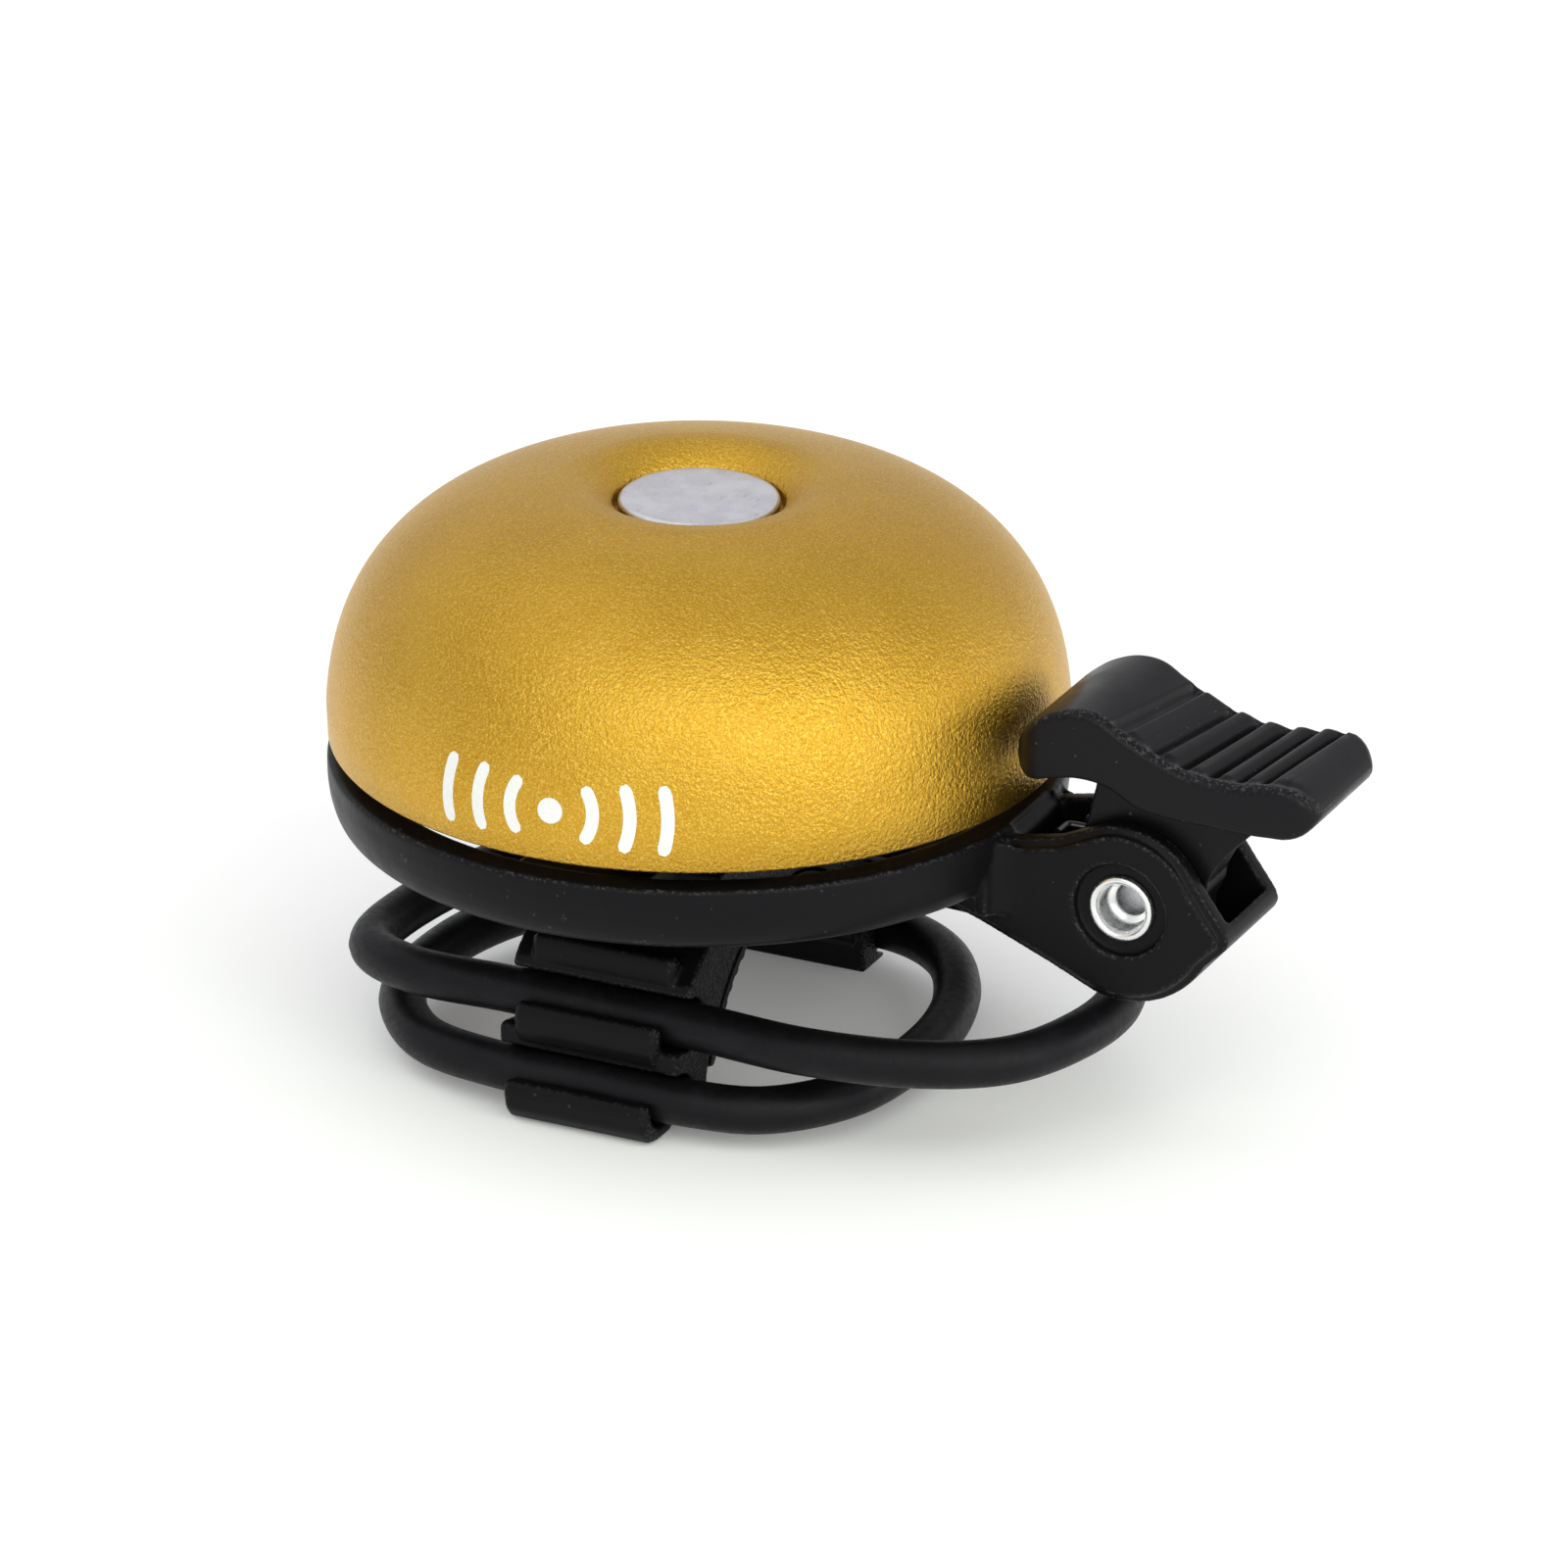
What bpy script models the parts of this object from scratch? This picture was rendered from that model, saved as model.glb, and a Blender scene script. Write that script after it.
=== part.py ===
"""Handlebar bell with a thumb lever, a riveted dome and two O-rings that hold it on the bar.

The row frame's origin is the middle of the bar seat: the highest strip of the rubber liner that
rests on the handlebar, right under the dome's axis. +X runs along the bar towards the thumb
lever, +Z is up through the dome. Sizes below are in millimetres. Heights named z in the lists
are measured from the dome's lower edge, and RIM_HEIGHT lifts them to the row frame.
"""

import math

import bmesh
import bpy
import numpy as np
from mathutils import Vector

MM = 0.001

# driving dimensions
RIM_HEIGHT = 12.1
GAP = 0.3

DOME_RADIUS = 27.42
DOME_CROWN = 20.2
DOME_FOOT = -0.35
DOME_SIDE_POWER = 2.89
DOME_TOP_POWER = 2.55
DOME_WALL = 1.2
DOME_SEGMENTS = 44
DIMPLE_RADIUS = 9.4
RECESS_RADIUS = 6.3
RECESS_HEIGHT = 17.0

RIVET_HEAD_RADIUS = 5.95
RIVET_HEAD_TOP = 18.4
RIVET_SHANK_RADIUS = 2.0
RIVET_HOLE_RADIUS = 2.3
TAIL_RADIUS = 3.1
TAIL_BOTTOM = -10.3
TAIL_TOP = -9.4

POST_RADIUS = 4.6
POST_TOP = 14.3
BASE_TOP = -1.26
BASE_BOTTOM = -6.4
BASE_WALL_INSIDE = 24.9
BAND_HALF = 5.0
BAND_END = 25.05
BAND_TOP = -4.0
BAND_BOTTOM = -5.95

ARM_HALF = 5.4
CHANNEL_HALF = 3.5
CHANNEL_FLOOR = 1.35
PIVOT_X = 36.15
PIVOT_Z = -5.65
ARM_LOWER_RADIUS = 7.3
ARM_UPPER_RADIUS = 6.3
COUNTERBORE_RADIUS = 3.55
COUNTERBORE_DEPTH = 0.8

PIN_RADIUS = 2.0
PIN_BORE = 1.65
PIN_HEAD_RADIUS = 2.5
PIN_HOLE_RADIUS = 2.2
PIN_HALF = 5.1

HUB_RADIUS = 5.2
HUB_LOW_Y = -3.2
HUB_HIGH_Y = 0.6
BLADE_HALF = 6.3
BLADE_START = 27.85
BLADE_END = 51.5
BLADE_TOP_ROUND = 1.4
BLADE_EDGE_ROUND = 0.4
GROOVES = (36.6, 39.6, 42.0, 44.1, 46.2, 48.2)
GROOVE_DEPTH = 0.5

SPRING_WIRE = 0.3
SPRING_RADIUS = 3.0
SPRING_PITCH = 0.9
SPRING_START_Y = 1.2
SPRING_START_ANGLE = 90.0
SPRING_END_ANGLE = -522.5

BAR_RADIUS = 12.3
BAR_CENTRE_Z = -RIM_HEIGHT - BAR_RADIUS
LINER_THICKNESS = 1.0
SADDLE_TOP = BAND_BOTTOM - GAP
SADDLE_BOTTOM = -23.8
SADDLE_HALF = 7.2
LIP_HALF = 5.8
TAIL_POCKET_RADIUS = 4.1
TAIL_POCKET_TOP = -8.2

CORD_RADIUS = 1.8

BLACK_PLASTIC = ((0.014, 0.014, 0.016), 0.42, 0.0)
SADDLE_PLASTIC = ((0.012, 0.012, 0.014), 0.55, 0.0)
GOLD_ALUMINIUM = ((0.62, 0.36, 0.04), 0.38, 1.0)
RIVET_ZINC = ((0.62, 0.63, 0.66), 0.35, 1.0)
PIN_ALUMINIUM = ((0.75, 0.75, 0.76), 0.3, 1.0)
SPRING_STEEL = ((0.35, 0.34, 0.33), 0.3, 1.0)
FIBRE = ((0.08, 0.07, 0.06), 0.8, 0.0)
RUBBER = ((0.02, 0.02, 0.022), 0.65, 0.0)


# ---------------------------------------------------------------- helpers


def clear_scene():
    for old in list(bpy.data.objects):
        bpy.data.objects.remove(old, do_unlink=True)


def at(x, y, z):
    """A point given in millimetres from the dome's rim plane, as metres in the row frame."""
    return Vector((x * MM, y * MM, (z + RIM_HEIGHT) * MM))


def finish_material(name, look):
    colour, roughness, metallic = look
    material = bpy.data.materials.new(name)
    material.use_nodes = True
    shader = material.node_tree.nodes["Principled BSDF"]
    shader.inputs["Base Color"].default_value = (*colour, 1.0)
    shader.inputs["Roughness"].default_value = roughness
    shader.inputs["Metallic"].default_value = metallic
    return material


def add_object(name, data, look, pivot=None):
    """Links the data as an object. With a pivot, its origin moves there and its shape stays."""
    piece = bpy.data.objects.new(name, data)
    bpy.context.scene.collection.objects.link(piece)
    if pivot is not None:
        for vertex in data.vertices:
            vertex.co -= pivot
        piece.location = pivot
    if look is not None:
        data.materials.append(finish_material(name + "_material", look))
    return piece


def mesh_from(bm, name, smooth_below=40.0):
    bmesh.ops.recalc_face_normals(bm, faces=bm.faces)
    mesh = bpy.data.meshes.new(name)
    bm.to_mesh(mesh)
    bm.free()
    mesh.shade_smooth()
    mesh.set_sharp_from_angle(angle=math.radians(smooth_below))
    return mesh


def arc(centre, radius, start, end, steps):
    """Points on a circle from start to end degrees, both ends included."""
    points = []
    for i in range(steps + 1):
        angle = math.radians(start + (end - start) * i / steps)
        points.append((centre[0] + radius * math.cos(angle), centre[1] + radius * math.sin(angle)))
    return points


def turned(name, profile, segments, axis="Z"):
    """A (radius, height) profile spun round the dome's axis, or round the pin's axis Y.
    It is closed from its last point to its first, unless both lie on the axis."""
    bm = bmesh.new()
    if axis == "Z":
        ring = [bm.verts.new(at(r, 0, h)) for r, h in profile]
        direction, centre = (0, 0, 1), (0, 0, 0)
    else:
        ring = [bm.verts.new(at(PIVOT_X + r, h, PIVOT_Z)) for r, h in profile]
        direction, centre = (0, 1, 0), at(PIVOT_X, 0, PIVOT_Z)
    edges = [bm.edges.new(pair) for pair in zip(ring, ring[1:])]
    if profile[0][0] > 0 or profile[-1][0] > 0:
        edges.append(bm.edges.new((ring[-1], ring[0])))
    bmesh.ops.spin(bm, geom=ring + edges, axis=direction, cent=centre,
                   angle=math.tau, steps=segments, use_merge=True)
    bmesh.ops.remove_doubles(bm, verts=bm.verts, dist=0.000001)
    return mesh_from(bm, name)


def extruded(name, outline, axis, low, high, edge_round=0.0):
    """An outline given as (x, z) pushed along Y, or as (y, z) pushed along X."""
    bm = bmesh.new()
    if axis == "Y":
        corners = [bm.verts.new(at(u, low, v)) for u, v in outline]
        shift = Vector((0, (high - low) * MM, 0))
    else:
        corners = [bm.verts.new(at(low, u, v)) for u, v in outline]
        shift = Vector(((high - low) * MM, 0, 0))
    cap = bm.faces.new(corners)
    grown = bmesh.ops.extrude_face_region(bm, geom=[cap])["geom"]
    moved = [item for item in grown if isinstance(item, bmesh.types.BMVert)]
    bmesh.ops.translate(bm, vec=shift, verts=moved)
    if edge_round > 0.0:
        rim = [e for e in bm.edges if any(len(f.verts) == len(outline) for f in e.link_faces)]
        bmesh.ops.bevel(bm, geom=rim, offset=edge_round * MM, segments=2,
                        affect="EDGES", clamp_overlap=True)
    return mesh_from(bm, name)


def shape_with(piece, mesh, operation):
    """Joins another mesh to the piece, or cuts it away."""
    tool = add_object(mesh.name, mesh, None)
    tool.hide_render = True
    tool.display_type = "WIRE"
    change = piece.modifiers.new(mesh.name, "BOOLEAN")
    change.operation = operation
    change.object = tool


def smooth_line(points, x):
    """The height at x of a smooth line through the (x, height) points."""
    xs = np.array([p[0] for p in points], float)
    hs = np.array([p[1] for p in points], float)
    slopes = np.gradient(hs, xs)
    i = int(np.clip(np.searchsorted(xs, x) - 1, 0, len(xs) - 2))
    span = xs[i + 1] - xs[i]
    t = (x - xs[i]) / span
    return ((1 + 2 * t) * (1 - t) ** 2 * hs[i] + t * (1 - t) ** 2 * span * slopes[i]
            + t * t * (3 - 2 * t) * hs[i + 1] + t * t * (t - 1) * span * slopes[i + 1])


def smooth_loop(points, count):
    """Evenly numbered points on a closed smooth curve through the given points."""
    loop = []
    total = len(points)
    for k in range(count):
        place = k * total / count
        i = int(place)
        t = place - i
        a, b, c, d = (np.array(points[(i + j - 1) % total], float) for j in range(4))
        loop.append(0.5 * (2 * b + (c - a) * t + (2 * a - 5 * b + 4 * c - d) * t ** 2
                           + (3 * b - a - 3 * c + d) * t ** 3))
    return loop


def wire(name, points, radius, look, closed, sides):
    """A round bar along the points, as a curve with a bevel."""
    curve = bpy.data.curves.new(name, "CURVE")
    curve.dimensions = "3D"
    curve.bevel_depth = radius * MM
    curve.bevel_resolution = sides // 2 - 2
    curve.use_fill_caps = not closed
    spline = curve.splines.new("POLY")
    spline.points.add(len(points) - 1)
    for target, point in zip(spline.points, points):
        target.co = (*at(*point), 1.0)
    spline.use_cyclic_u = closed
    return add_object(name, curve, look)


# ---------------------------------------------------------------- dome, rivet and washers


def crown(radius_scale, height_scale, low_angle, high_angle, steps):
    """Points up the dome's side, from the rim towards the top."""
    points = []
    for i in range(steps + 1):
        angle = math.radians(low_angle + (high_angle - low_angle) * i / steps)
        r = DOME_RADIUS * radius_scale * math.cos(angle) ** (2 / DOME_SIDE_POWER)
        z = DOME_FOOT + DOME_CROWN * height_scale * math.sin(angle) ** (2 / DOME_TOP_POWER)
        points.append((r, z))
    return points


def bell_dome():
    inner_scale = 1 - DOME_WALL / DOME_RADIUS
    inner_height = 1 - (DOME_WALL + 0.1) / DOME_CROWN
    outside = crown(1.0, 1.0, 7, 77, 12)
    dimple = [(DIMPLE_RADIUS, 19.45), (8.3, 19.3), (7.4, 18.9), (6.7, 18.2), (RECESS_RADIUS, 17.5)]
    seat = [(RECESS_RADIUS, RECESS_HEIGHT), (RIVET_HOLE_RADIUS, RECESS_HEIGHT)]
    under_seat = [(RIVET_HOLE_RADIUS, RECESS_HEIGHT - DOME_WALL), (7.2, RECESS_HEIGHT - DOME_WALL),
                  (8.6, 17.6)]
    inside = list(reversed(crown(inner_scale, inner_height, 8, 75, 9)))
    lip = [(25.85, 0.0), (26.95, 0.0), (27.28, 0.4)]
    profile = outside + dimple + seat + under_seat + inside + lip
    return add_object("bell_dome", turned("bell_dome", profile, DOME_SEGMENTS), GOLD_ALUMINIUM)


def dome_rivet():
    top = RIVET_HEAD_TOP
    under = RECESS_HEIGHT + GAP
    profile = [
        (0, top), (RIVET_HEAD_RADIUS - 0.6, top), (RIVET_HEAD_RADIUS - 0.15, top - 0.2),
        (RIVET_HEAD_RADIUS, top - 0.55), (RIVET_HEAD_RADIUS, under),
        (RIVET_SHANK_RADIUS, under), (RIVET_SHANK_RADIUS, TAIL_TOP), (TAIL_RADIUS - 0.3, TAIL_TOP),
        (TAIL_RADIUS, TAIL_TOP - 0.3), (TAIL_RADIUS - 0.6, TAIL_BOTTOM), (0, TAIL_BOTTOM),
    ]
    return add_object("dome_rivet", turned("dome_rivet", profile, 32), RIVET_ZINC)


def flat_washer(name, inner, outer, bottom, top, look):
    edge = 0.1
    profile = [(inner, bottom), (outer - edge, bottom), (outer, bottom + edge),
               (outer, top - edge), (outer - edge, top), (inner, top)]
    return add_object(name, turned(name, profile, 28), look)


# ---------------------------------------------------------------- base with its arm


def arm_outline():
    """The arm seen from the front, from the ring round the pivot and back, as (x, z)."""
    pivot = (PIVOT_X, PIVOT_Z)
    crest = [(4.0, BAND_TOP - 0.3), (25.7, BAND_TOP - 0.3), (25.7, -2.25), (28.0, -1.75), (31.0, -1.15)]
    round_top = arc(pivot, ARM_UPPER_RADIUS, 106, 42, 7)
    nose = [(42.3, -3.6), (44.2, -6.2), (44.45, -6.9), (44.25, -7.5)]
    round_bottom = arc(pivot, ARM_LOWER_RADIUS, -28, -107, 8)
    root = BAND_BOTTOM + 0.2
    tail = [(30.5, -11.05), (25.3, -8.95), (21.5, -7.6), (18.0, root), (4.0, root)]
    return crest + round_top + nose + round_bottom + tail


def channel_outline():
    """The slot between the arm's two cheeks, open at the top and at the outer end."""
    pivot = (PIVOT_X, PIVOT_Z)
    floor = arc(pivot, ARM_LOWER_RADIUS - CHANNEL_FLOOR, -104, -32, 7)
    mouth = [(43.35, -6.7), (44.0, -5.7), (46.5, -4.0), (46.5, 4.0), (27.75, 4.0)]
    return [(27.75, -8.3), (31.0, -9.75)] + floor + mouth


def base_body():
    wall = [
        (BASE_WALL_INSIDE, BASE_TOP), (27.1, BASE_TOP), (27.35, BASE_TOP - 0.25), (27.3, -3.0),
        (26.95, -4.9), (26.5, -5.8), (25.8, -6.25), (25.1, BASE_BOTTOM), (BASE_WALL_INSIDE, BASE_BOTTOM),
    ]
    base = add_object("base_body", turned("base_body", wall, 60), BLACK_PLASTIC)
    band = [(-BAND_END, BAND_BOTTOM), (BAND_END, BAND_BOTTOM), (BAND_END, BAND_TOP),
            (-BAND_END, BAND_TOP)]
    shape_with(base, extruded("join_band", band, "X", -BAND_HALF, BAND_HALF), "UNION")
    rib = [(-14.0, -5.2), (14.0, -5.2), (14.0, -3.0), (5.0, 6.0), (-5.0, 6.0), (-14.0, -3.0)]
    shape_with(base, extruded("join_rib", rib, "X", -0.8, 0.8), "UNION")
    post = [(0, -5.0), (POST_RADIUS, -5.0), (POST_RADIUS, POST_TOP - 0.3),
            (POST_RADIUS - 0.3, POST_TOP), (0, POST_TOP)]
    shape_with(base, turned("join_post", post, 32), "UNION")
    bore = [(0, BASE_BOTTOM - 2), (RIVET_HOLE_RADIUS, BASE_BOTTOM - 2),
            (RIVET_HOLE_RADIUS, POST_TOP + 2), (0, POST_TOP + 2)]
    shape_with(base, turned("cut_bore", bore, 24), "DIFFERENCE")
    arm = extruded("join_arm", arm_outline(), "Y", -ARM_HALF, ARM_HALF, 0.5)
    shape_with(base, arm, "UNION")
    channel = extruded("cut_channel", channel_outline(), "Y", -CHANNEL_HALF, CHANNEL_HALF)
    shape_with(base, channel, "DIFFERENCE")
    floor = ARM_HALF - COUNTERBORE_DEPTH
    seat = [(0, -8), (COUNTERBORE_RADIUS, -8), (COUNTERBORE_RADIUS, -floor),
            (PIN_HOLE_RADIUS, -floor), (PIN_HOLE_RADIUS, floor), (COUNTERBORE_RADIUS, floor),
            (COUNTERBORE_RADIUS, 8), (0, 8)]
    shape_with(base, turned("cut_pivot", seat, 28, "Y"), "DIFFERENCE")
    return base


# ---------------------------------------------------------------- saddle and liner


def leg_outline():
    """Half of the saddle seen along the bar, as (distance from the axis, z), top to foot."""
    shoulder = [(11.2, SADDLE_TOP), (12.2, -9.6), (12.9, -11.0), (14.2, -11.8)]
    tooth_1 = [(15.9, -13.2), (16.2, -13.9), (15.9, -14.2)]
    groove_1 = arc((15.75, -16.2), CORD_RADIUS + 0.25, 100, 260, 6)
    tooth_2 = [(17.3, -17.85), (18.1, -17.7), (18.35, -18.0), (18.35, -19.2), (18.0, -19.4)]
    groove_2 = arc((17.6, -21.5), CORD_RADIUS + 0.25, 92, 262, 6)
    return shoulder + tooth_1 + groove_1 + tooth_2 + groove_2 + [(17.1, SADDLE_BOTTOM)]


def lip(name, outline):
    """One hook lip on both legs: returns the front and the rear outline's meshes."""
    front = extruded(name + "_front", [(-s, z) for s, z in outline], "X", -LIP_HALF, LIP_HALF, 0.25)
    rear = extruded(name + "_rear", outline, "X", -LIP_HALF, LIP_HALF, 0.25)
    return front, rear


def bar_saddle():
    half = leg_outline()
    seat_radius = BAR_RADIUS + LINER_THICKNESS + GAP
    foot = math.degrees(math.asin((SADDLE_BOTTOM - BAR_CENTRE_Z) / seat_radius))
    hollow = arc((0, BAR_CENTRE_Z), seat_radius, foot, 180 - foot, 20)
    mirrored = [(-s, z) for s, z in half]
    outline = list(reversed(mirrored)) + half + hollow
    saddle = add_object("bar_saddle", extruded("bar_saddle", outline, "X", -SADDLE_HALF, SADDLE_HALF),
                        SADDLE_PLASTIC)
    hooks = {
        "join_lip_1": [(14.0, -12.4), (14.75, -11.35), (15.9, -11.3), (16.15, -12.2), (16.1, -13.3),
                       (15.6, -14.15), (14.6, -13.9)],
        "join_lip_2": [(17.4, -18.35), (17.75, -17.2), (17.75, -15.75), (18.75, -15.65),
                       (19.05, -16.4), (19.1, -17.6), (18.5, -18.8)],
        "join_lip_3": [(15.6, -24.2), (15.6, -23.65), (18.4, -23.6), (19.45, -22.6),
                       (19.65, -21.25), (20.5, -21.15), (20.8, -21.9), (20.5, -23.4),
                       (19.8, -24.3), (18.6, -24.6), (16.4, -24.6)],
    }
    for name, points in hooks.items():
        for mesh in lip(name, points):
            shape_with(saddle, mesh, "UNION")
    pocket = [(0, TAIL_POCKET_TOP), (TAIL_POCKET_RADIUS, TAIL_POCKET_TOP),
              (TAIL_POCKET_RADIUS, -14.0), (0, -14.0)]
    shape_with(saddle, turned("cut_pocket", pocket, 28), "DIFFERENCE")
    bore = [(0, -5.0), (RIVET_HOLE_RADIUS, -5.0), (RIVET_HOLE_RADIUS, -9.0), (0, -9.0)]
    shape_with(saddle, turned("cut_saddle_bore", bore, 24), "DIFFERENCE")
    return saddle


def saddle_pad():
    """The rubber liner. Its facets are laid so that one of them lies flat at the very top."""
    facets = 21
    reach = 74.0
    flat = BAR_RADIUS / math.cos(math.radians(reach / facets))
    inner = arc((0, BAR_CENTRE_Z), flat, 90 - reach, 90 + reach, facets)
    outer = arc((0, BAR_CENTRE_Z), BAR_RADIUS + LINER_THICKNESS, 90 + reach, 90 - reach, facets)
    mesh = extruded("saddle_pad", inner + outer, "X", -SADDLE_HALF + 0.05, SADDLE_HALF - 0.05)
    return add_object("saddle_pad", mesh, RUBBER)


# ---------------------------------------------------------------- lever, pin and spring


def blade_top(x):
    line = smooth_line([(27.85, 5.4), (28.2, 6.7), (29.2, 7.95), (31.2, 9.15), (33.0, 9.55),
                        (34.6, 9.35), (36.4, 8.6), (39.5, 6.95), (41.8, 6.35), (44.3, 6.25),
                        (46.5, 6.4), (48.8, 6.5), (50.2, 6.2), (51.1, 5.6), (BLADE_END, 4.9)], x)
    for left, right in zip(GROOVES, GROOVES[1:]):
        if left <= x <= right:
            across = abs(2 * (x - left) / (right - left) - 1)
            return line - GROOVE_DEPTH * across ** 3
    beyond = max(GROOVES[0] - x, x - GROOVES[-1])
    return line - GROOVE_DEPTH * max(0.0, 1 - beyond / 0.7) ** 2


def blade_bottom(x):
    return smooth_line([(27.85, 5.2), (28.2, 4.3), (29.2, 3.75), (31.0, 4.0), (33.2, 4.35),
                        (35.6, 4.0), (37.5, 3.0), (39.9, 2.6), (43.2, 2.5), (47.8, 2.5),
                        (50.0, 2.75), (51.0, 3.4), (BLADE_END, 4.5)], x)


def blade_half_width(x):
    nose = min(1.0, (x - BLADE_START + 0.25) / 4.6)
    tip = min(1.0, (BLADE_END - x + 0.15) / 2.5)
    nose_part = (1 - (1 - nose) ** 3.6) ** (1 / 3.6)
    tip_part = (1 - (1 - tip) ** 2.2) ** (1 / 2.2)
    return BLADE_HALF * nose_part * (1 - 0.42 * (1 - tip_part))


def blade_section(x):
    """The blade cut across at x: (y, z) points going round, with rounded upper edges."""
    half, top, bottom = blade_half_width(x), blade_top(x), blade_bottom(x)
    tall = top - bottom
    round_top = min(BLADE_TOP_ROUND, 0.62 * tall)
    round_low = min(BLADE_EDGE_ROUND, 0.3 * tall)
    right = [(half - round_low, bottom), (half, bottom + round_low)]
    right += arc((half - round_top, top - round_top), round_top, 0, 90, 4)
    return right + [(-y, z) for y, z in reversed(right)]


def blade_stations():
    """Where the blade is cut across: close together at the ends and over the grooves."""
    nose = [BLADE_START + step for step in (0.0, 0.2, 0.6, 1.2, 2.2, 3.5, 5.0, 6.7, 7.9)]
    ribs = []
    for left, right in zip(GROOVES, GROOVES[1:]):
        ribs += [left, left + 0.16 * (right - left), 0.5 * (left + right), right - 0.16 * (right - left)]
    tip = [BLADE_END - step for step in (3.4, 2.9, 2.0, 1.2, 0.6, 0.2, 0.0)]
    return nose + ribs + tip


def thumb_lever():
    bm = bmesh.new()
    sections = []
    for x in blade_stations():
        sections.append([bm.verts.new(at(x, y, z)) for y, z in blade_section(x)])
    for before, after in zip(sections, sections[1:]):
        for i in range(len(before)):
            j = (i + 1) % len(before)
            bm.faces.new((before[i], before[j], after[j], after[i]))
    bm.faces.new(sections[0])
    bm.faces.new(list(reversed(sections[-1])))
    pivot = at(PIVOT_X, 0, PIVOT_Z)
    lever = add_object("thumb_lever", mesh_from(bm, "thumb_lever"), BLACK_PLASTIC, pivot)
    hub = arc((PIVOT_X, PIVOT_Z), HUB_RADIUS, 150, 375, 16)
    front = [(41.9, -2.7), (42.6, -1.3), (43.9, 0.2), (45.4, 1.4), (47.4, 2.6), (47.4, 3.6)]
    back = [(33.4, 4.6), (33.2, 2.6), (32.7, 0.4)]
    shape_with(lever, extruded("join_neck", hub + front + back, "Y", HUB_LOW_Y, HUB_HIGH_Y), "UNION")
    bore = [(0, -6), (PIN_HOLE_RADIUS + 0.05, -6), (PIN_HOLE_RADIUS + 0.05, 6), (0, 6)]
    shape_with(lever, turned("cut_hub_bore", bore, 28, "Y"), "DIFFERENCE")
    return lever


def pivot_rivet():
    """A hollow rivet: a factory head in front, a rolled lip behind."""
    seat = ARM_HALF - COUNTERBORE_DEPTH + 0.1
    half = PIN_HALF
    profile = [
        (PIN_BORE, -half), (PIN_HEAD_RADIUS - 0.25, -half), (PIN_HEAD_RADIUS, -half + 0.15),
        (PIN_HEAD_RADIUS, -seat), (PIN_RADIUS, -seat), (PIN_RADIUS, seat),
        (PIN_HEAD_RADIUS - 0.1, seat), (PIN_HEAD_RADIUS - 0.2, half - 0.1),
        (PIN_RADIUS, half), (PIN_BORE, half),
    ]
    return add_object("pivot_rivet", turned("pivot_rivet", profile, 28, "Y"), PIN_ALUMINIUM)


def torsion_spring():
    """Coils beside the hub. One leg rests by the ring, the other hooks behind the lever's neck."""
    fixed_x, moving_x = 29.2, 31.6
    top = PIVOT_Z + SPRING_RADIUS
    points = [(fixed_x, -0.6, top), (fixed_x, 0.8, top), (fixed_x + 0.4, SPRING_START_Y, top)]
    steps = 24
    for i in range(steps + 1):
        share = i / steps
        swept = (SPRING_END_ANGLE - SPRING_START_ANGLE) * share
        angle = math.radians(SPRING_START_ANGLE + swept)
        points.append((PIVOT_X + SPRING_RADIUS * math.cos(angle),
                       SPRING_START_Y - SPRING_PITCH * swept / 360.0,
                       PIVOT_Z + SPRING_RADIUS * math.sin(angle)))
    side = points[-1][1]
    points += [(moving_x, side, -1.5), (moving_x - 0.05, side - 0.4, -1.2), (moving_x, -0.6, -1.2)]
    return wire("torsion_spring", points, SPRING_WIRE, SPRING_STEEL, False, 8)


# ---------------------------------------------------------------- O-rings

LARGE_ROUTE = [
    (-8.0, -15.75, -16.2), (0.0, -15.7, -16.2), (8.0, -15.85, -16.2), (16.4, -16.5, -16.1),
    (24.6, -15.2, -16.0), (30.4, -11.9, -15.9), (33.3, -6.5, -15.7), (33.8, 0.2, -15.7),
    (31.0, 7.2, -15.8), (25.2, 12.8, -16.0), (16.6, 15.4, -16.2), (8.0, 15.8, -16.2),
    (0.0, 15.7, -16.2), (-8.0, 15.6, -16.2), (-15.2, 11.7, -16.4), (-19.8, 4.4, -16.7),
    (-22.0, -4.2, -17.0), (-21.2, -11.6, -16.9), (-15.7, -15.4, -16.4),
]
SMALL_ROUTE = [
    (-8.0, -17.6, -21.5), (0.0, -17.5, -21.5), (8.0, -17.6, -21.5), (13.4, -16.2, -21.5),
    (17.5, -11.6, -21.4), (19.0, -5.0, -21.4), (18.9, 2.4, -21.4), (17.0, 9.0, -21.4),
    (13.3, 14.6, -21.5), (8.0, 17.4, -21.5), (0.0, 17.5, -21.5), (-8.0, 17.3, -21.5),
    (-14.4, 14.2, -21.5), (-18.6, 8.2, -21.4), (-20.8, 0.2, -21.4), (-20.0, -9.0, -21.4),
    (-15.0, -15.6, -21.5),
]


def o_ring(name, route, count):
    return wire(name, smooth_loop(route, count), CORD_RADIUS, RUBBER, True, 12)


def main():
    clear_scene()
    bell_dome()
    dome_rivet()
    washer_top = RECESS_HEIGHT - DOME_WALL - GAP
    flat_washer("dome_washer", RIVET_HOLE_RADIUS, 4.4, POST_TOP + GAP, washer_top, FIBRE)
    base_body()
    bar_saddle()
    saddle_pad()
    flat_washer("tail_washer", RIVET_HOLE_RADIUS, 3.7, TAIL_TOP + GAP, TAIL_POCKET_TOP - GAP,
                RIVET_ZINC)
    thumb_lever()
    pivot_rivet()
    torsion_spring()
    o_ring("o_ring_large", LARGE_ROUTE, 64)
    o_ring("o_ring_small", SMALL_ROUTE, 52)


main()
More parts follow.
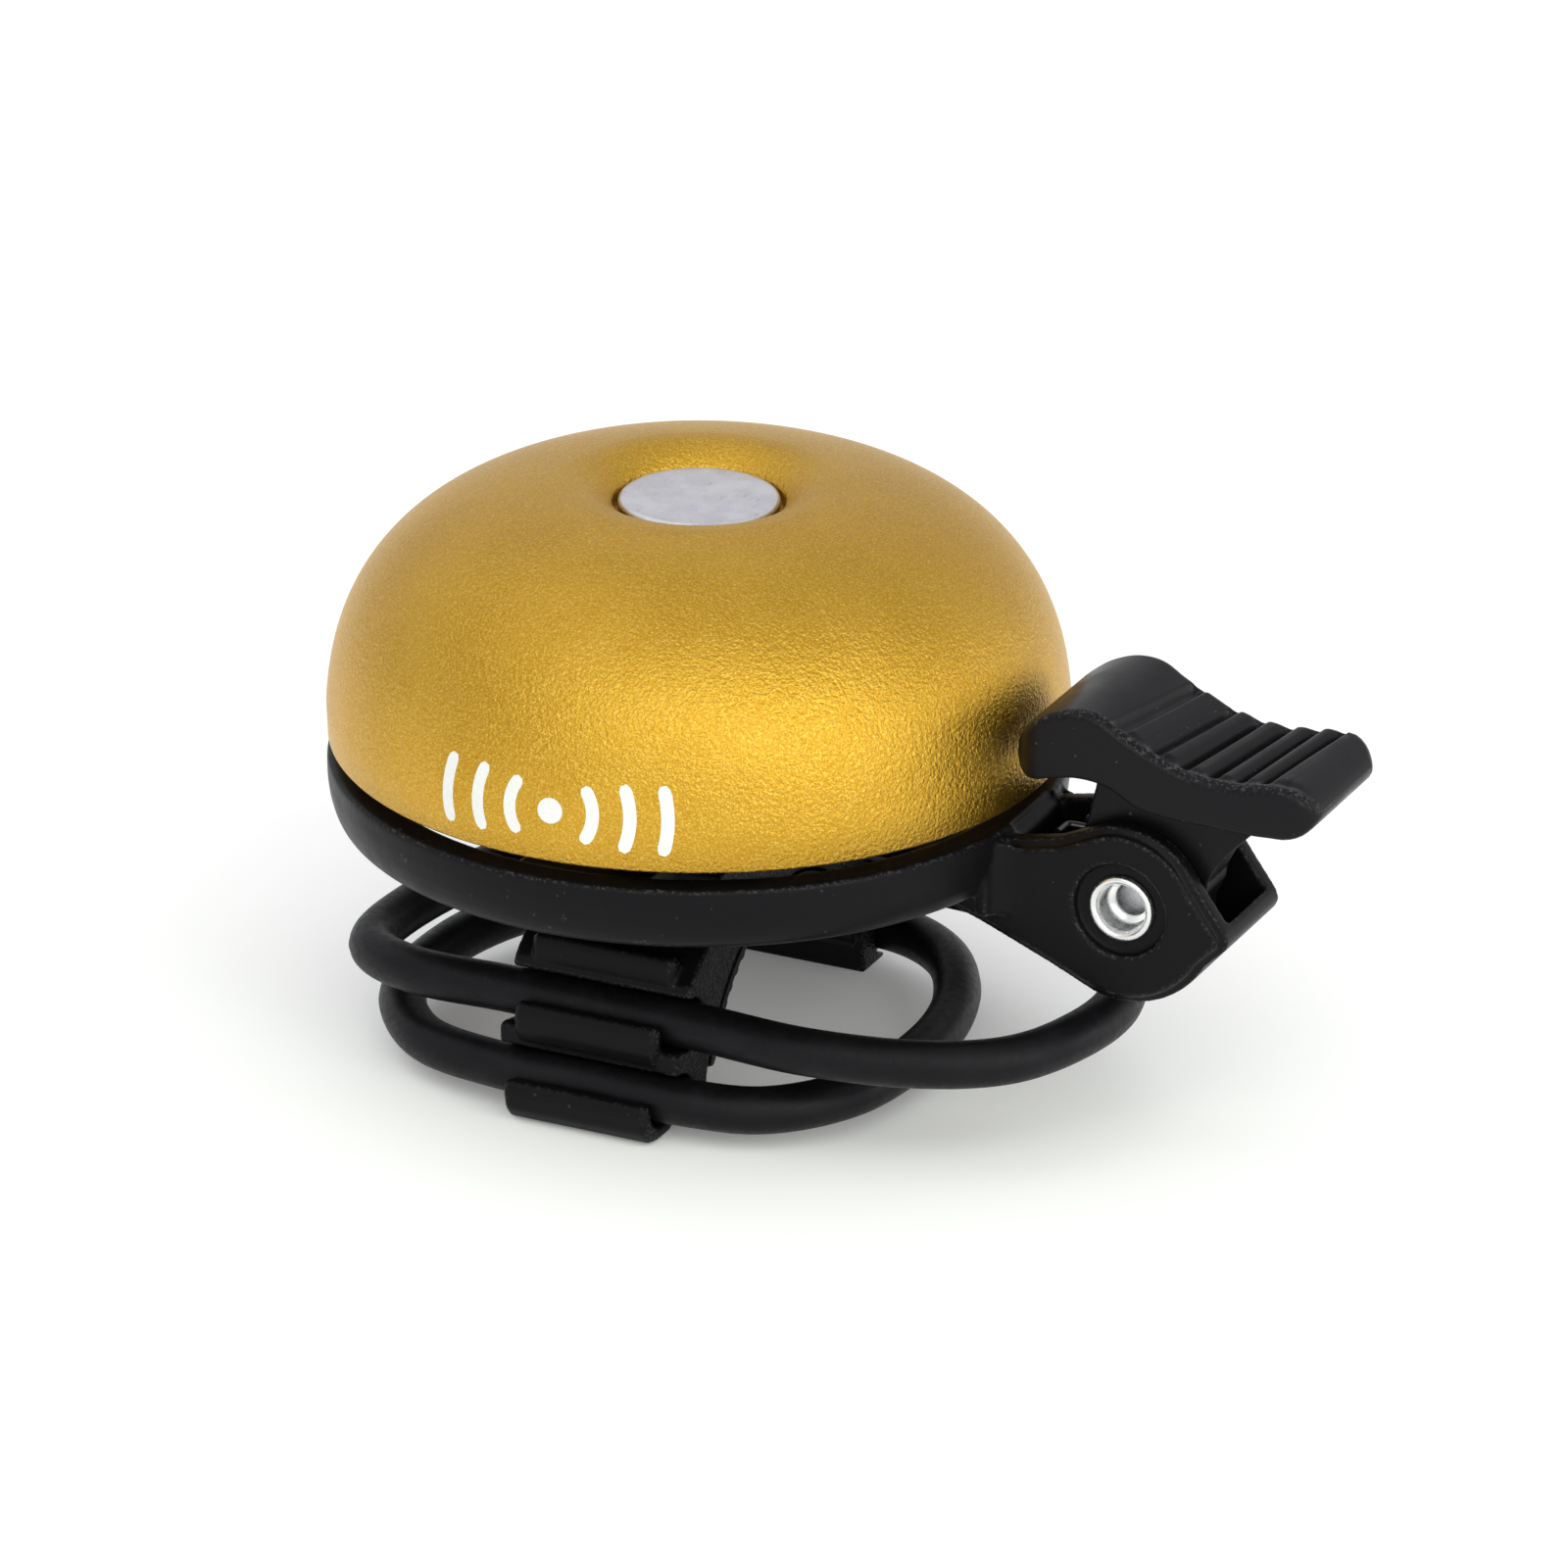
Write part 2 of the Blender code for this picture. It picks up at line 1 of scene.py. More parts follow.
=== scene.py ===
"""The looks of a handlebar bell: dome, base, thumb lever, saddle and rubber rings.

Lengths in the lists are millimetres, and heights z are measured from the dome's lower edge.
X runs along the bar towards the lever, and the bell's front faces -Y.
finished() turns a shape to metres and lifts it by RIM_HEIGHT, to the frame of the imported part.
"""

import math

import bmesh
import bpy
import numpy as np
from mathutils import Matrix, Vector, noise


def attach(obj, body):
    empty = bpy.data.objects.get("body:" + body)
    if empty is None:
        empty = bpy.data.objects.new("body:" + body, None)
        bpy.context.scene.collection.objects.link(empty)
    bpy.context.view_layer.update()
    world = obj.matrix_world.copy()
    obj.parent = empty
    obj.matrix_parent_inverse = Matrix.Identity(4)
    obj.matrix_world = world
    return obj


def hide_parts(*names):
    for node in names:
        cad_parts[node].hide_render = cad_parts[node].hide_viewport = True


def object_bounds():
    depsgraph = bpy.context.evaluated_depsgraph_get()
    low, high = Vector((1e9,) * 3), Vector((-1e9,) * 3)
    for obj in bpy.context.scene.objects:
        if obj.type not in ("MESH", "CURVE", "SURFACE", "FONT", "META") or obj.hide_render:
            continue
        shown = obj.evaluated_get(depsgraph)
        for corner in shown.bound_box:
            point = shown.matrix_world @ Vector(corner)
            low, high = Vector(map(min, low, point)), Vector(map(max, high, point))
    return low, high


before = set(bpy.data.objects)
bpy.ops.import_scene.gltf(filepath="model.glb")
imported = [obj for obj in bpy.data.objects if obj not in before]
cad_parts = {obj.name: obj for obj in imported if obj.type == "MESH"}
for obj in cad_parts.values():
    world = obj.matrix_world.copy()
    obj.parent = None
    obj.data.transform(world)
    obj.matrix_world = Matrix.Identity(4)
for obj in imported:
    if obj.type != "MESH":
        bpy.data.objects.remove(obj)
CAD_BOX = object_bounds()

MM = 0.001
RIM_HEIGHT = 12.1
PIVOT = (36.15, -5.65)
RIVET_BORE = 2.3
BAR_RADIUS = 12.3
BAR_Z = -24.4
CORNER_STEPS = 4

# ---------------------------------------------------------------- camera, floor and light

VIEW_AZIMUTH = math.radians(25.53)
VIEW_ELEVATION = math.radians(22.91)
VIEW_ROLL = math.radians(0.24)
VIEW_DISTANCE = 720.1
AIM_RIGHT = 6.26
AIM_UP = -4.12
LENS = 225.0
SENSOR = 36.0

FLOOR_HALF = 3.0
FLOOR_GLOW = 0.12
SKY_COLOUR = (0.97, 0.98, 1.0, 1)
SKY_STRENGTH = 0.79

# Name, degrees to the right of the camera, degrees up, distance and size in metres, watts, colour.
LIGHTS = (
    ("key", 10, 37, 0.9, (1.7, 0.8), 5.6, (0.95, 1.0, 0.86)),
    ("side_right", 43, 15, 0.9, (0.36, 0.36), 1.1, (0.97, 1.0, 0.90)),
    ("top", -100, 62, 1.0, (1.0, 0.9), 0.9, (1.0, 1.0, 1.0)),
    ("rim_right", 93, 5, 0.9, (0.3, 0.22), 0.8, (1.0, 1.0, 1.0)),
)


def outward(azimuth, elevation):
    """A unit vector away from the dome. Azimuth 0 is the front, and it grows towards the lever."""
    level = math.cos(elevation)
    return Vector((math.sin(azimuth) * level, -math.cos(azimuth) * level, math.sin(elevation)))


def add_camera():
    back = outward(VIEW_AZIMUTH, VIEW_ELEVATION)
    right = Vector((math.cos(VIEW_AZIMUTH), math.sin(VIEW_AZIMUTH), 0))
    up = back.cross(right)
    place = back * VIEW_DISTANCE + right * AIM_RIGHT + up * AIM_UP + Vector((0, 0, RIM_HEIGHT))
    rolled_right = right * math.cos(VIEW_ROLL) + up * math.sin(VIEW_ROLL)
    rolled_up = up * math.cos(VIEW_ROLL) - right * math.sin(VIEW_ROLL)
    turn = Matrix((rolled_right, rolled_up, back)).transposed().to_4x4()
    camera = bpy.data.objects.new("camera", bpy.data.cameras.new("camera"))
    bpy.context.scene.collection.objects.link(camera)
    camera.matrix_world = Matrix.Translation(place * MM) @ turn
    camera.data.lens = LENS
    camera.data.sensor_width = SENSOR
    camera.data.clip_start = 0.01
    camera.data.clip_end = 20.0
    bpy.context.scene.camera = camera


def add_light(name, azimuth, elevation, distance, size, power, colour):
    """A soft rectangular light, aimed at the dome."""
    away = outward(VIEW_AZIMUTH + math.radians(azimuth), math.radians(elevation))
    data = bpy.data.lights.new(name, "AREA")
    data.shape = "RECTANGLE"
    data.size, data.size_y = size
    data.energy = power
    data.color = colour
    lamp = bpy.data.objects.new(name, data)
    bpy.context.scene.collection.objects.link(lamp)
    lamp.location = away * distance + Vector((0, 0, RIM_HEIGHT * MM))
    lamp.rotation_euler = away.to_track_quat("Z", "Y").to_euler()


def floor_look():
    white = bpy.data.materials.new("floor_white")
    white.use_nodes = True
    inputs = white.node_tree.nodes["Principled BSDF"].inputs
    inputs["Base Color"].default_value = (0.96, 0.96, 0.96, 1)
    inputs["Roughness"].default_value = 0.9
    inputs["Specular IOR Level"].default_value = 0.1
    inputs["Emission Color"].default_value = (1.0, 1.0, 1.0, 1)
    inputs["Emission Strength"].default_value = FLOOR_GLOW
    return white


def add_floor():
    low = CAD_BOX[0][2]
    corners = [(x * FLOOR_HALF, y * FLOOR_HALF, low) for x, y in ((-1, -1), (1, -1), (1, 1), (-1, 1))]
    mesh = bpy.data.meshes.new("floor")
    mesh.from_pydata(corners, [], [(0, 1, 2, 3)])
    mesh.materials.append(floor_look())
    floor = bpy.data.objects.new("floor", mesh)
    bpy.context.scene.collection.objects.link(floor)


def add_studio():
    add_floor()
    world = bpy.data.worlds.new("studio")
    world.use_nodes = True
    bpy.context.scene.world = world
    sky = world.node_tree.nodes["Background"]
    sky.inputs["Color"].default_value = SKY_COLOUR
    sky.inputs["Strength"].default_value = SKY_STRENGTH
    for light in LIGHTS:
        add_light(*light)
    bpy.context.scene.view_settings.view_transform = "Standard"
    bpy.context.scene.view_settings.look = "None"


# ---------------------------------------------------------------- materials

BLACK = (0.003, 0.003, 0.0035)
SCUFFED = (0.075, 0.075, 0.08)
DUSTY = (0.10, 0.10, 0.10)
PITTED = (0.028, 0.028, 0.030)


class Shader:
    """Short names for building a Principled material's nodes."""

    def __init__(self, name, colour, roughness, metallic=0.0):
        self.material = bpy.data.materials.new(name)
        self.material.use_nodes = True
        self.tree = self.material.node_tree
        self.principled = self.tree.nodes["Principled BSDF"]
        self.principled.inputs["Base Color"].default_value = (*colour, 1)
        self.principled.inputs["Roughness"].default_value = roughness
        self.principled.inputs["Metallic"].default_value = metallic
        self.place = self.tree.nodes.new("ShaderNodeTexCoord").outputs["Object"]
        self.bumped = None

    def link(self, source, socket):
        """Gives a socket a number, a colour or another node's output."""
        if isinstance(source, (int, float)):
            socket.default_value = source
        elif isinstance(source, tuple):
            socket.default_value = (*source, 1)
        else:
            self.tree.links.new(source, socket)

    def set(self, name, source):
        self.link(source, self.principled.inputs[name])

    def stretched(self, scale, turn):
        node = self.tree.nodes.new("ShaderNodeMapping")
        self.link(self.place, node.inputs["Vector"])
        node.inputs["Rotation"].default_value = turn
        node.inputs["Scale"].default_value = scale
        return node.outputs["Vector"]

    def noise(self, size_mm, detail=2.0, rough=0.5, vector=None):
        node = self.tree.nodes.new("ShaderNodeTexNoise")
        self.link(vector or self.place, node.inputs["Vector"])
        node.inputs["Scale"].default_value = 1.0 / (size_mm * MM)
        node.inputs["Detail"].default_value = detail
        node.inputs["Roughness"].default_value = rough
        return node.outputs["Fac"]

    def cells(self, size_mm):
        node = self.tree.nodes.new("ShaderNodeTexVoronoi")
        self.link(self.place, node.inputs["Vector"])
        node.inputs["Scale"].default_value = 1.0 / (size_mm * MM)
        return node.outputs["Distance"]

    def math(self, kind, a, b=0.0, clamp=False):
        node = self.tree.nodes.new("ShaderNodeMath")
        node.operation = kind
        node.use_clamp = clamp
        self.link(a, node.inputs[0])
        self.link(b, node.inputs[1])
        return node.outputs[0]

    def span(self, value, low, high, to_low=0.0, to_high=1.0):
        """The value eased from low..high to to_low..to_high."""
        node = self.tree.nodes.new("ShaderNodeMapRange")
        node.interpolation_type = "SMOOTHSTEP"
        self.link(value, node.inputs["Value"])
        for name, number in (("From Min", low), ("From Max", high),
                             ("To Min", to_low), ("To Max", to_high)):
            node.inputs[name].default_value = number
        return node.outputs["Result"]

    def mix(self, share, a, b):
        node = self.tree.nodes.new("ShaderNodeMix")
        node.data_type = "RGBA"
        self.link(share, node.inputs["Factor"])
        self.link(a, node.inputs["A"])
        self.link(b, node.inputs["B"])
        return node.outputs["Result"]

    def edges(self, low, high):
        """1 on sharp outer edges, 0 on flat ground."""
        node = self.tree.nodes.new("ShaderNodeNewGeometry")
        return self.span(node.outputs["Pointiness"], low, high)

    def attribute(self, name):
        node = self.tree.nodes.new("ShaderNodeAttribute")
        node.attribute_name = name
        return node.outputs["Fac"]

    def facing(self, which):
        """1 where the surface faces along an axis, either way, and 0 where it lies along it."""
        geometry = self.tree.nodes.new("ShaderNodeNewGeometry")
        node = self.tree.nodes.new("ShaderNodeSeparateXYZ")
        self.link(geometry.outputs["Normal"], node.inputs["Vector"])
        return self.math("ABSOLUTE", node.outputs[which])

    def bump(self, height, depth_mm, strength):
        """Adds to the bumps given before."""
        node = self.tree.nodes.new("ShaderNodeBump")
        node.inputs["Strength"].default_value = strength
        node.inputs["Distance"].default_value = depth_mm * MM
        self.link(height, node.inputs["Height"])
        if self.bumped is not None:
            self.link(self.bumped, node.inputs["Normal"])
        self.bumped = node.outputs["Normal"]
        self.link(self.bumped, self.principled.inputs["Normal"])


def gold_look():
    """Bead-blasted and anodised: an even pebbled grain, with painted glints: a brighter, whiter colour on
    the high spots of the fine grain.
    """
    s = Shader("gold_anodised", (0.53, 0.29, 0.030), 0.36, 1.0)
    grain = s.noise(0.30, 2.0, 0.55)
    fine = s.noise(0.15, 1.0, 0.5)
    wide = s.noise(9.0, 2.0)
    tone = s.mix(s.span(wide, 0.3, 0.7), (0.51, 0.275, 0.022), (0.56, 0.31, 0.030))
    # Painted glints: the high spots of the fine grain, which also drives the fine bump, are mixed towards a
    # pale gold.
    s.set("Base Color", s.mix(s.span(fine, 0.42, 0.72, 0.0, 0.5), tone, (0.80, 0.56, 0.12)))
    s.set("Roughness", s.span(grain, 0.25, 0.75, 0.32, 0.42))
    s.bump(grain, 0.12, 1.0)
    s.bump(fine, 0.02, 0.6)
    return s.material


def print_look():
    """White ink that follows the grain under it."""
    s = Shader("white_print", (0.82, 0.82, 0.80), 0.5)
    s.set("Base Color", s.mix(s.noise(0.3, 3.0), (0.66, 0.66, 0.64), (0.80, 0.80, 0.78)))
    s.bump(s.noise(0.42, 2.0), 0.03, 0.4)
    return s.material


def zinc_look():
    """Grey metal with smeared patches, and fine scratches in three directions."""
    s = Shader("rivet_zinc", (0.72, 0.73, 0.76), 0.3, 1.0)
    smear = s.noise(2.2, 4.0, 0.6)
    scratch = None
    for turn, width in ((0.5, 0.05), (1.7, 0.07), (2.6, 0.06)):
        lines = s.noise(width, 2.0, 0.5, s.stretched((1.0, 0.045, 1.0), (0, 0, turn)))
        cut = s.span(lines, 0.66, 0.74)
        patch = s.span(s.noise(1.6, 2.0, 0.5, s.stretched((1, 1, 1), (0.4, turn, 0))), 0.5, 0.62)
        cut = s.math("MULTIPLY", cut, patch)
        scratch = cut if scratch is None else s.math("MAXIMUM", scratch, cut)
    tone = s.mix(s.span(smear, 0.35, 0.65), (0.62, 0.61, 0.65), (0.72, 0.715, 0.755))
    s.set("Base Color", s.mix(s.math("MULTIPLY", scratch, 0.8), tone, (0.22, 0.21, 0.21)))
    s.set("Roughness", s.math("ADD", s.span(smear, 0.3, 0.7, 0.26, 0.36), s.math("MULTIPLY", scratch, 0.2)))
    s.bump(smear, 0.03, 0.5)
    s.bump(scratch, -0.02, 0.8)
    return s.material


def plastic_look(name, rough, scuff, gloss, ends=False, marked=False):
    """Satin black moulding: a fine spark grain, faint mottling, and edges scuffed to grey specks.

    The scuffs follow the mesh's own sharpness, or its wear attribute if it is marked.
    With ends, the faces at both ends of the piece along the bar are coarser and pitted.
    """
    s = Shader(name, BLACK, rough)
    s.principled.inputs["Specular IOR Level"].default_value = gloss
    s.principled.inputs["Specular Tint"].default_value = (0.96, 0.92, 1.0, 1)
    mottle = s.noise(3.5, 3.0, 0.55)
    specks = s.span(s.noise(0.26, 3.0, 0.7), 0.50, 0.66)
    rubbed = s.attribute("wear") if marked else s.edges(0.512, 0.535)
    worn = s.math("MULTIPLY", s.math("MULTIPLY", rubbed, specks), scuff, clamp=True)
    dust = s.math("MULTIPLY", s.span(s.noise(0.5, 1.0, 0.3), 0.77, 0.81), 0.3)
    clean = s.mix(dust, s.mix(mottle, BLACK, tuple(1.5 * c for c in BLACK)), DUSTY)
    colour = s.mix(worn, clean, SCUFFED)
    s.set("Roughness", s.math("ADD", s.span(mottle, 0.3, 0.7, rough - 0.05, rough + 0.06),
                              s.math("MULTIPLY", worn, 0.2)))
    s.bump(s.noise(0.13, 2.0, 0.55), 0.02, 0.45)
    s.bump(s.noise(1.1, 2.0), 0.03, 0.25)
    if ends:
        flat = s.span(s.facing("X"), 0.85, 0.95)
        s.bump(s.math("MULTIPLY", s.cells(0.24), flat), 0.12, 1.0)
        pits = s.math("MULTIPLY", s.span(s.noise(0.22, 2.0, 0.6), 0.55, 0.66), flat)
        colour = s.mix(pits, colour, PITTED)
    s.set("Base Color", colour)
    return s.material


def rubber_look(name, tone):
    """Matt black rubber with a pale bloom in patches and a few specks of dust."""
    s = Shader(name, tone, 0.55)
    s.principled.inputs["Specular IOR Level"].default_value = 0.18
    s.principled.inputs["Specular Tint"].default_value = (0.94, 0.91, 1.0, 1)
    bloom = s.span(s.noise(4.0, 4.0, 0.6), 0.42, 0.72)
    streak = s.noise(0.6, 3.0, 0.6)
    base = s.mix(bloom, tone, tuple(2.0 * c for c in tone))
    specks = s.span(s.noise(0.24, 2.0, 0.6), 0.70, 0.76, 0.0, 0.4)
    s.set("Base Color", s.mix(specks, base, (0.05, 0.05, 0.055)))
    s.set("Roughness", s.span(streak, 0.3, 0.7, 0.40, 0.52))
    s.bump(streak, 0.02, 0.3)
    s.bump(s.noise(0.12, 2.0), 0.012, 0.4)
    return s.material


def bright_metal_look(name, colour, roughness, grain_mm):
    """Plain metal with small marks of handling."""
    s = Shader(name, colour, roughness, 1.0)
    marks = s.noise(grain_mm, 3.0, 0.6)
    s.set("Base Color", s.mix(marks, tuple(0.85 * c for c in colour), colour))
    s.set("Roughness", s.span(marks, 0.3, 0.7, roughness - 0.05, roughness + 0.08))
    s.bump(marks, 0.012, 0.4)
    return s.material


def fibre_look():
    s = Shader("washer_fibre", (0.08, 0.07, 0.06), 0.8)
    s.set("Base Color", s.mix(s.noise(0.3, 4.0, 0.7), (0.05, 0.043, 0.036), (0.12, 0.10, 0.08)))
    s.bump(s.noise(0.2, 3.0), 0.03, 0.5)
    return s.material


# ---------------------------------------------------------------- shape helpers


def arc(centre, radius, start, end, steps):
    """Points on a circle from one angle in degrees to another, both included."""
    points = []
    for i in range(steps + 1):
        angle = math.radians(start + (end - start) * i / steps)
        points.append((centre[0] + radius * math.cos(angle), centre[1] + radius * math.sin(angle)))
    return points


def rounded(points, radius):
    """A closed outline with its corners rounded, less where two corners are close together."""
    smooth = []
    count = len(points)
    for i, point in enumerate(points):
        here = Vector(point)
        before = Vector(points[i - 1]) - here
        after = Vector(points[(i + 1) % count]) - here
        reach = min(radius, 0.45 * before.length, 0.45 * after.length)
        a = here + before.normalized() * reach
        b = here + after.normalized() * reach
        for k in range(CORNER_STEPS + 1):
            t = k / CORNER_STEPS
            smooth.append(tuple(a * (1 - t) ** 2 + here * 2 * t * (1 - t) + b * t ** 2))
    return smooth


def spun(profile, segments, axis="Z"):
    """A closed bmesh from a (radius, height) profile, round the dome's axis or the pin's (Y)."""
    bm = bmesh.new()
    if axis == "Z":
        ring = [bm.verts.new((r, 0, h)) for r, h in profile]
        direction, centre = (0, 0, 1), (0, 0, 0)
    else:
        ring = [bm.verts.new((PIVOT[0] + r, h, PIVOT[1])) for r, h in profile]
        direction, centre = (0, 1, 0), (PIVOT[0], 0, PIVOT[1])
    edges = [bm.edges.new(pair) for pair in zip(ring, ring[1:])]
    if profile[0][0] > 0 or profile[-1][0] > 0:
        edges.append(bm.edges.new((ring[-1], ring[0])))
    bmesh.ops.spin(bm, geom=ring + edges, axis=direction, cent=centre, angle=math.tau,
                   steps=segments, use_merge=True)
    bmesh.ops.remove_doubles(bm, verts=bm.verts, dist=0.0005)
    bmesh.ops.recalc_face_normals(bm, faces=bm.faces)
    return bm


def pushed(outline, axis, low, high, edge_round=0.0, segments=4):
    """An outline pushed along X, Y or Z, with rounded rims."""
    bm = bmesh.new()
    spots = {"Y": lambda u, v: (u, low, v), "X": lambda u, v: (low, u, v), "Z": lambda u, v: (u, v, low)}
    shift = {"Y": (0, high - low, 0), "X": (high - low, 0, 0), "Z": (0, 0, high - low)}[axis]
    cap = bm.faces.new([bm.verts.new(spots[axis](u, v)) for u, v in outline])
    grown = bmesh.ops.extrude_face_region(bm, geom=[cap])["geom"]
    bmesh.ops.translate(bm, vec=shift, verts=[g for g in grown if isinstance(g, bmesh.types.BMVert)])
    if edge_round > 0:
        rim = [e for e in bm.edges if any(len(f.verts) == len(outline) for f in e.link_faces)]
        bmesh.ops.bevel(bm, geom=rim, offset=edge_round, segments=segments, affect="EDGES",
                        clamp_overlap=True)
    bmesh.ops.recalc_face_normals(bm, faces=bm.faces)
    return bm


def draft(bm, name="draft"):
    """A bmesh as an object in millimetres, for joining and cutting."""
    mesh = bpy.data.meshes.new(name)
    bm.to_mesh(mesh)
    bm.free()
    piece = bpy.data.objects.new(name, mesh)
    bpy.context.scene.collection.objects.link(piece)
    return piece


def settle(piece):
    """Applies the modifiers."""
    bpy.context.view_layer.update()
    graph = bpy.context.evaluated_depsgraph_get()
    mesh = bpy.data.meshes.new_from_object(piece.evaluated_get(graph))
    piece.modifiers.clear()
    old = piece.data
    piece.data = mesh
    bpy.data.meshes.remove(old)
    return piece


def shaped(piece, *steps):
    """Joins or cuts with the given (operation, bmesh) pairs, in turn."""
    for operation, bm in steps:
        tool = draft(bm, "tool")
        change = piece.modifiers.new("shape", "BOOLEAN")
        change.operation = operation
        change.object = tool
        settle(piece)
        bpy.data.objects.remove(tool, do_unlink=True)
    return piece


def melted(piece, voxel, rounds):
    """Re-meshed evenly and smoothed, which gives every edge and corner a small moulded radius."""
    change = piece.modifiers.new("even", "REMESH")
    change.mode = "VOXEL"
    change.voxel_size = voxel
    change.use_smooth_shade = True
    ease = piece.modifiers.new("ease", "SMOOTH")
    ease.factor = 0.5
    ease.iterations = rounds
    return settle(piece)


def finished(piece, name, material, body, nodes, sharp=None):
    """Turns the piece to metres in the part's frame, and hands it its material, body and nodes."""
    piece.name = name
    piece.data.name = name
    piece.data.transform(Matrix.Scale(MM, 4) @ Matrix.Translation((0, 0, RIM_HEIGHT)))
    piece.data.shade_smooth()
    if sharp is not None:
        piece.data.set_sharp_from_angle(angle=math.radians(sharp))
    piece.data.materials.clear()
    piece.data.materials.append(material)
    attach(piece, body)
    if nodes:
        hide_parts(*nodes)


def smooth_line(points, x):
    """The height at x of a smooth curve through the points."""
    xs = np.array([p[0] for p in points], float)
    hs = np.array([p[1] for p in points], float)
    slopes = np.gradient(hs, xs)
    i = int(np.clip(np.searchsorted(xs, x) - 1, 0, len(xs) - 2))
    span = xs[i + 1] - xs[i]
    t = (x - xs[i]) / span
    return ((1 + 2 * t) * (1 - t) ** 2 * hs[i] + t * (1 - t) ** 2 * span * slopes[i]
            + t * t * (3 - 2 * t) * hs[i + 1] + t * t * (t - 1) * span * slopes[i + 1])


def smooth_loop(points, count):
    """A closed smooth curve through the points, as count points."""
    loop = []
    total = len(points)
    for k in range(count):
        place = k * total / count
        i = int(place)
        t = place - i
        a, b, c, d = (np.array(points[(i + j - 1) % total], float) for j in range(4))
        loop.append(0.5 * (2 * b + (c - a) * t + (2 * a - 5 * b + 4 * c - d) * t ** 2
                           + (3 * b - a - 3 * c + d) * t ** 3))
    return loop


def skin(bm, rings, closed=False):
    """Faces between neighbouring rings of vertices, with a cap at both ends or a closed loop."""
    pairs = list(zip(rings, rings[1:])) + ([(rings[-1], rings[0])] if closed else [])
    for a, b in pairs:
        for i in range(len(a)):
            j = (i + 1) % len(a)
            bm.faces.new((a[i], a[j], b[j], b[i]))
    if not closed:
        bm.faces.new(rings[0])
        bm.faces.new(rings[-1])


def tube(points, radius_at, sides, closed):
    """A tube along the points. radius_at(share along, angle round) gives its radius."""
    bm = bmesh.new()
    line = [Vector(p) for p in points]
    count = len(line)
    rings = []
    side = None
    for i, here in enumerate(line):
        before = line[i - 1] if closed or i > 0 else here
        after = line[(i + 1) % count] if closed or i < count - 1 else here
        along = (after - before).normalized()
        if closed:
            side = Vector((0, 0, 1)).cross(along).normalized()
        else:
            side = (along.orthogonal() if side is None else side - along * side.dot(along)).normalized()
        other = along.cross(side)
        ring = []
        for k in range(sides):
            turn = math.tau * k / sides
            r = radius_at(i / count, turn)
            ring.append(bm.verts.new(here + (side * math.cos(turn) + other * math.sin(turn)) * r))
        rings.append(ring)
    skin(bm, rings, closed)
    bmesh.ops.recalc_face_normals(bm, faces=bm.faces)
    return bm


# ---------------------------------------------------------------- dome, print and rivet

DOME_RADIUS = 27.42
DOME_CROWN = 20.2
DOME_FOOT = -0.35
DOME_WALL = 1.2
CROWN_EXTRA = 0.1
SIDE_POWER = 2.89
CROWN_POWER = 2.55
# The wall is straight from the lip's top, as (radius, z), up to this parameter angle in degrees.
LIP_TOP = (27.25, 0.25)
WALL_ANGLE = 5.2

# The print's middle, as a turn about the dome's axis and a parameter angle. PRINT_BEND turns its widths
# to angles. The ink goes from PRINT_DEPTH below the dome's side to PRINT_FACE above it, and its radius
# stays under PRINT_REACH.
PRINT_TURN = math.radians(-90 + 3.2)
PRINT_ANGLE = 8.2
PRINT_BEND = 27.0
PRINT_DEPTH = -0.05
PRINT_EDGE = 0.025
PRINT_FACE = 0.03
PRINT_REACH = 27.347
DOT_RADIUS = 0.95
DOT_SIDES = 24
BAR_STEPS = 17
BAR_HALF = 0.48
# The curved bars' radii, and the degrees to which they reach up and down.
SOUND_BARS = ((3.2, 40), (5.9, 25), (8.6, 17.5))


def dome_point(angle, inset=0.0):
    """(radius, z) on the dome's outer side at a parameter angle in degrees, or inside it by the inset."""
    a = math.radians(angle)
    scale = 1 - inset / DOME_RADIUS
    tall = 1 - (inset + (CROWN_EXTRA if inset else 0)) / DOME_CROWN
    return (DOME_RADIUS * scale * math.cos(a) ** (2 / SIDE_POWER),
            DOME_FOOT + DOME_CROWN * tall * math.sin(a) ** (2 / CROWN_POWER))


def bell_dome():
    outside = [dome_point(WALL_ANGLE + (74.5 - WALL_ANGLE) * i / 60) for i in range(61)]
    dimple = [(9.9, 19.42), (9.2, 19.4), (8.5, 19.28), (7.9, 19.05), (7.3, 18.72), (6.85, 18.38),
              (6.55, 18.12), (6.38, 17.95), (6.3, 17.7), (6.3, 17.0)]
    under = [(2.35, 17.0), (2.35, 15.8), (7.1, 15.8), (7.5, 16.4), (8.6, 17.6)]
    inside = [dome_point(75 - (75 - 7) * i / 36, DOME_WALL) for i in range(37)]
    lip = [(25.9, 0.12), (26.05, 0.0), (26.85, 0.0), (27.1, 0.07), LIP_TOP]
    return draft(spun(outside + dimple + under + inside + lip, 240))


def wrapped():
    """A function that lays a flat spot (u, v) of the print on the dome, a little out of its side."""
    angles = np.arange(120) * 0.5
    points = [dome_point(a) for a in angles]
    lengths = [0.0]
    for a, b in zip(points, points[1:]):
        lengths.append(lengths[-1] + math.dist(a, b))
    middle = np.interp(PRINT_ANGLE, angles, lengths)
    wall_radius, wall_top = dome_point(WALL_ANGLE)

    def on_dome(u, v, out):
        angle = float(np.interp(middle + v, lengths, angles))
        r, z = dome_point(angle)
        r2, z2 = dome_point(angle + 0.2)
        slope = Vector((z2 - z, r - r2)).normalized()
        r = min(r, float(np.interp(z, (LIP_TOP[1], wall_top), (LIP_TOP[0], wall_radius))))
        r, z = min(r + slope.x * out, PRINT_REACH), z + slope.y * out
        turn = PRINT_TURN + u / PRINT_BEND
        return r * math.cos(turn), r * math.sin(turn), z

    return on_dome


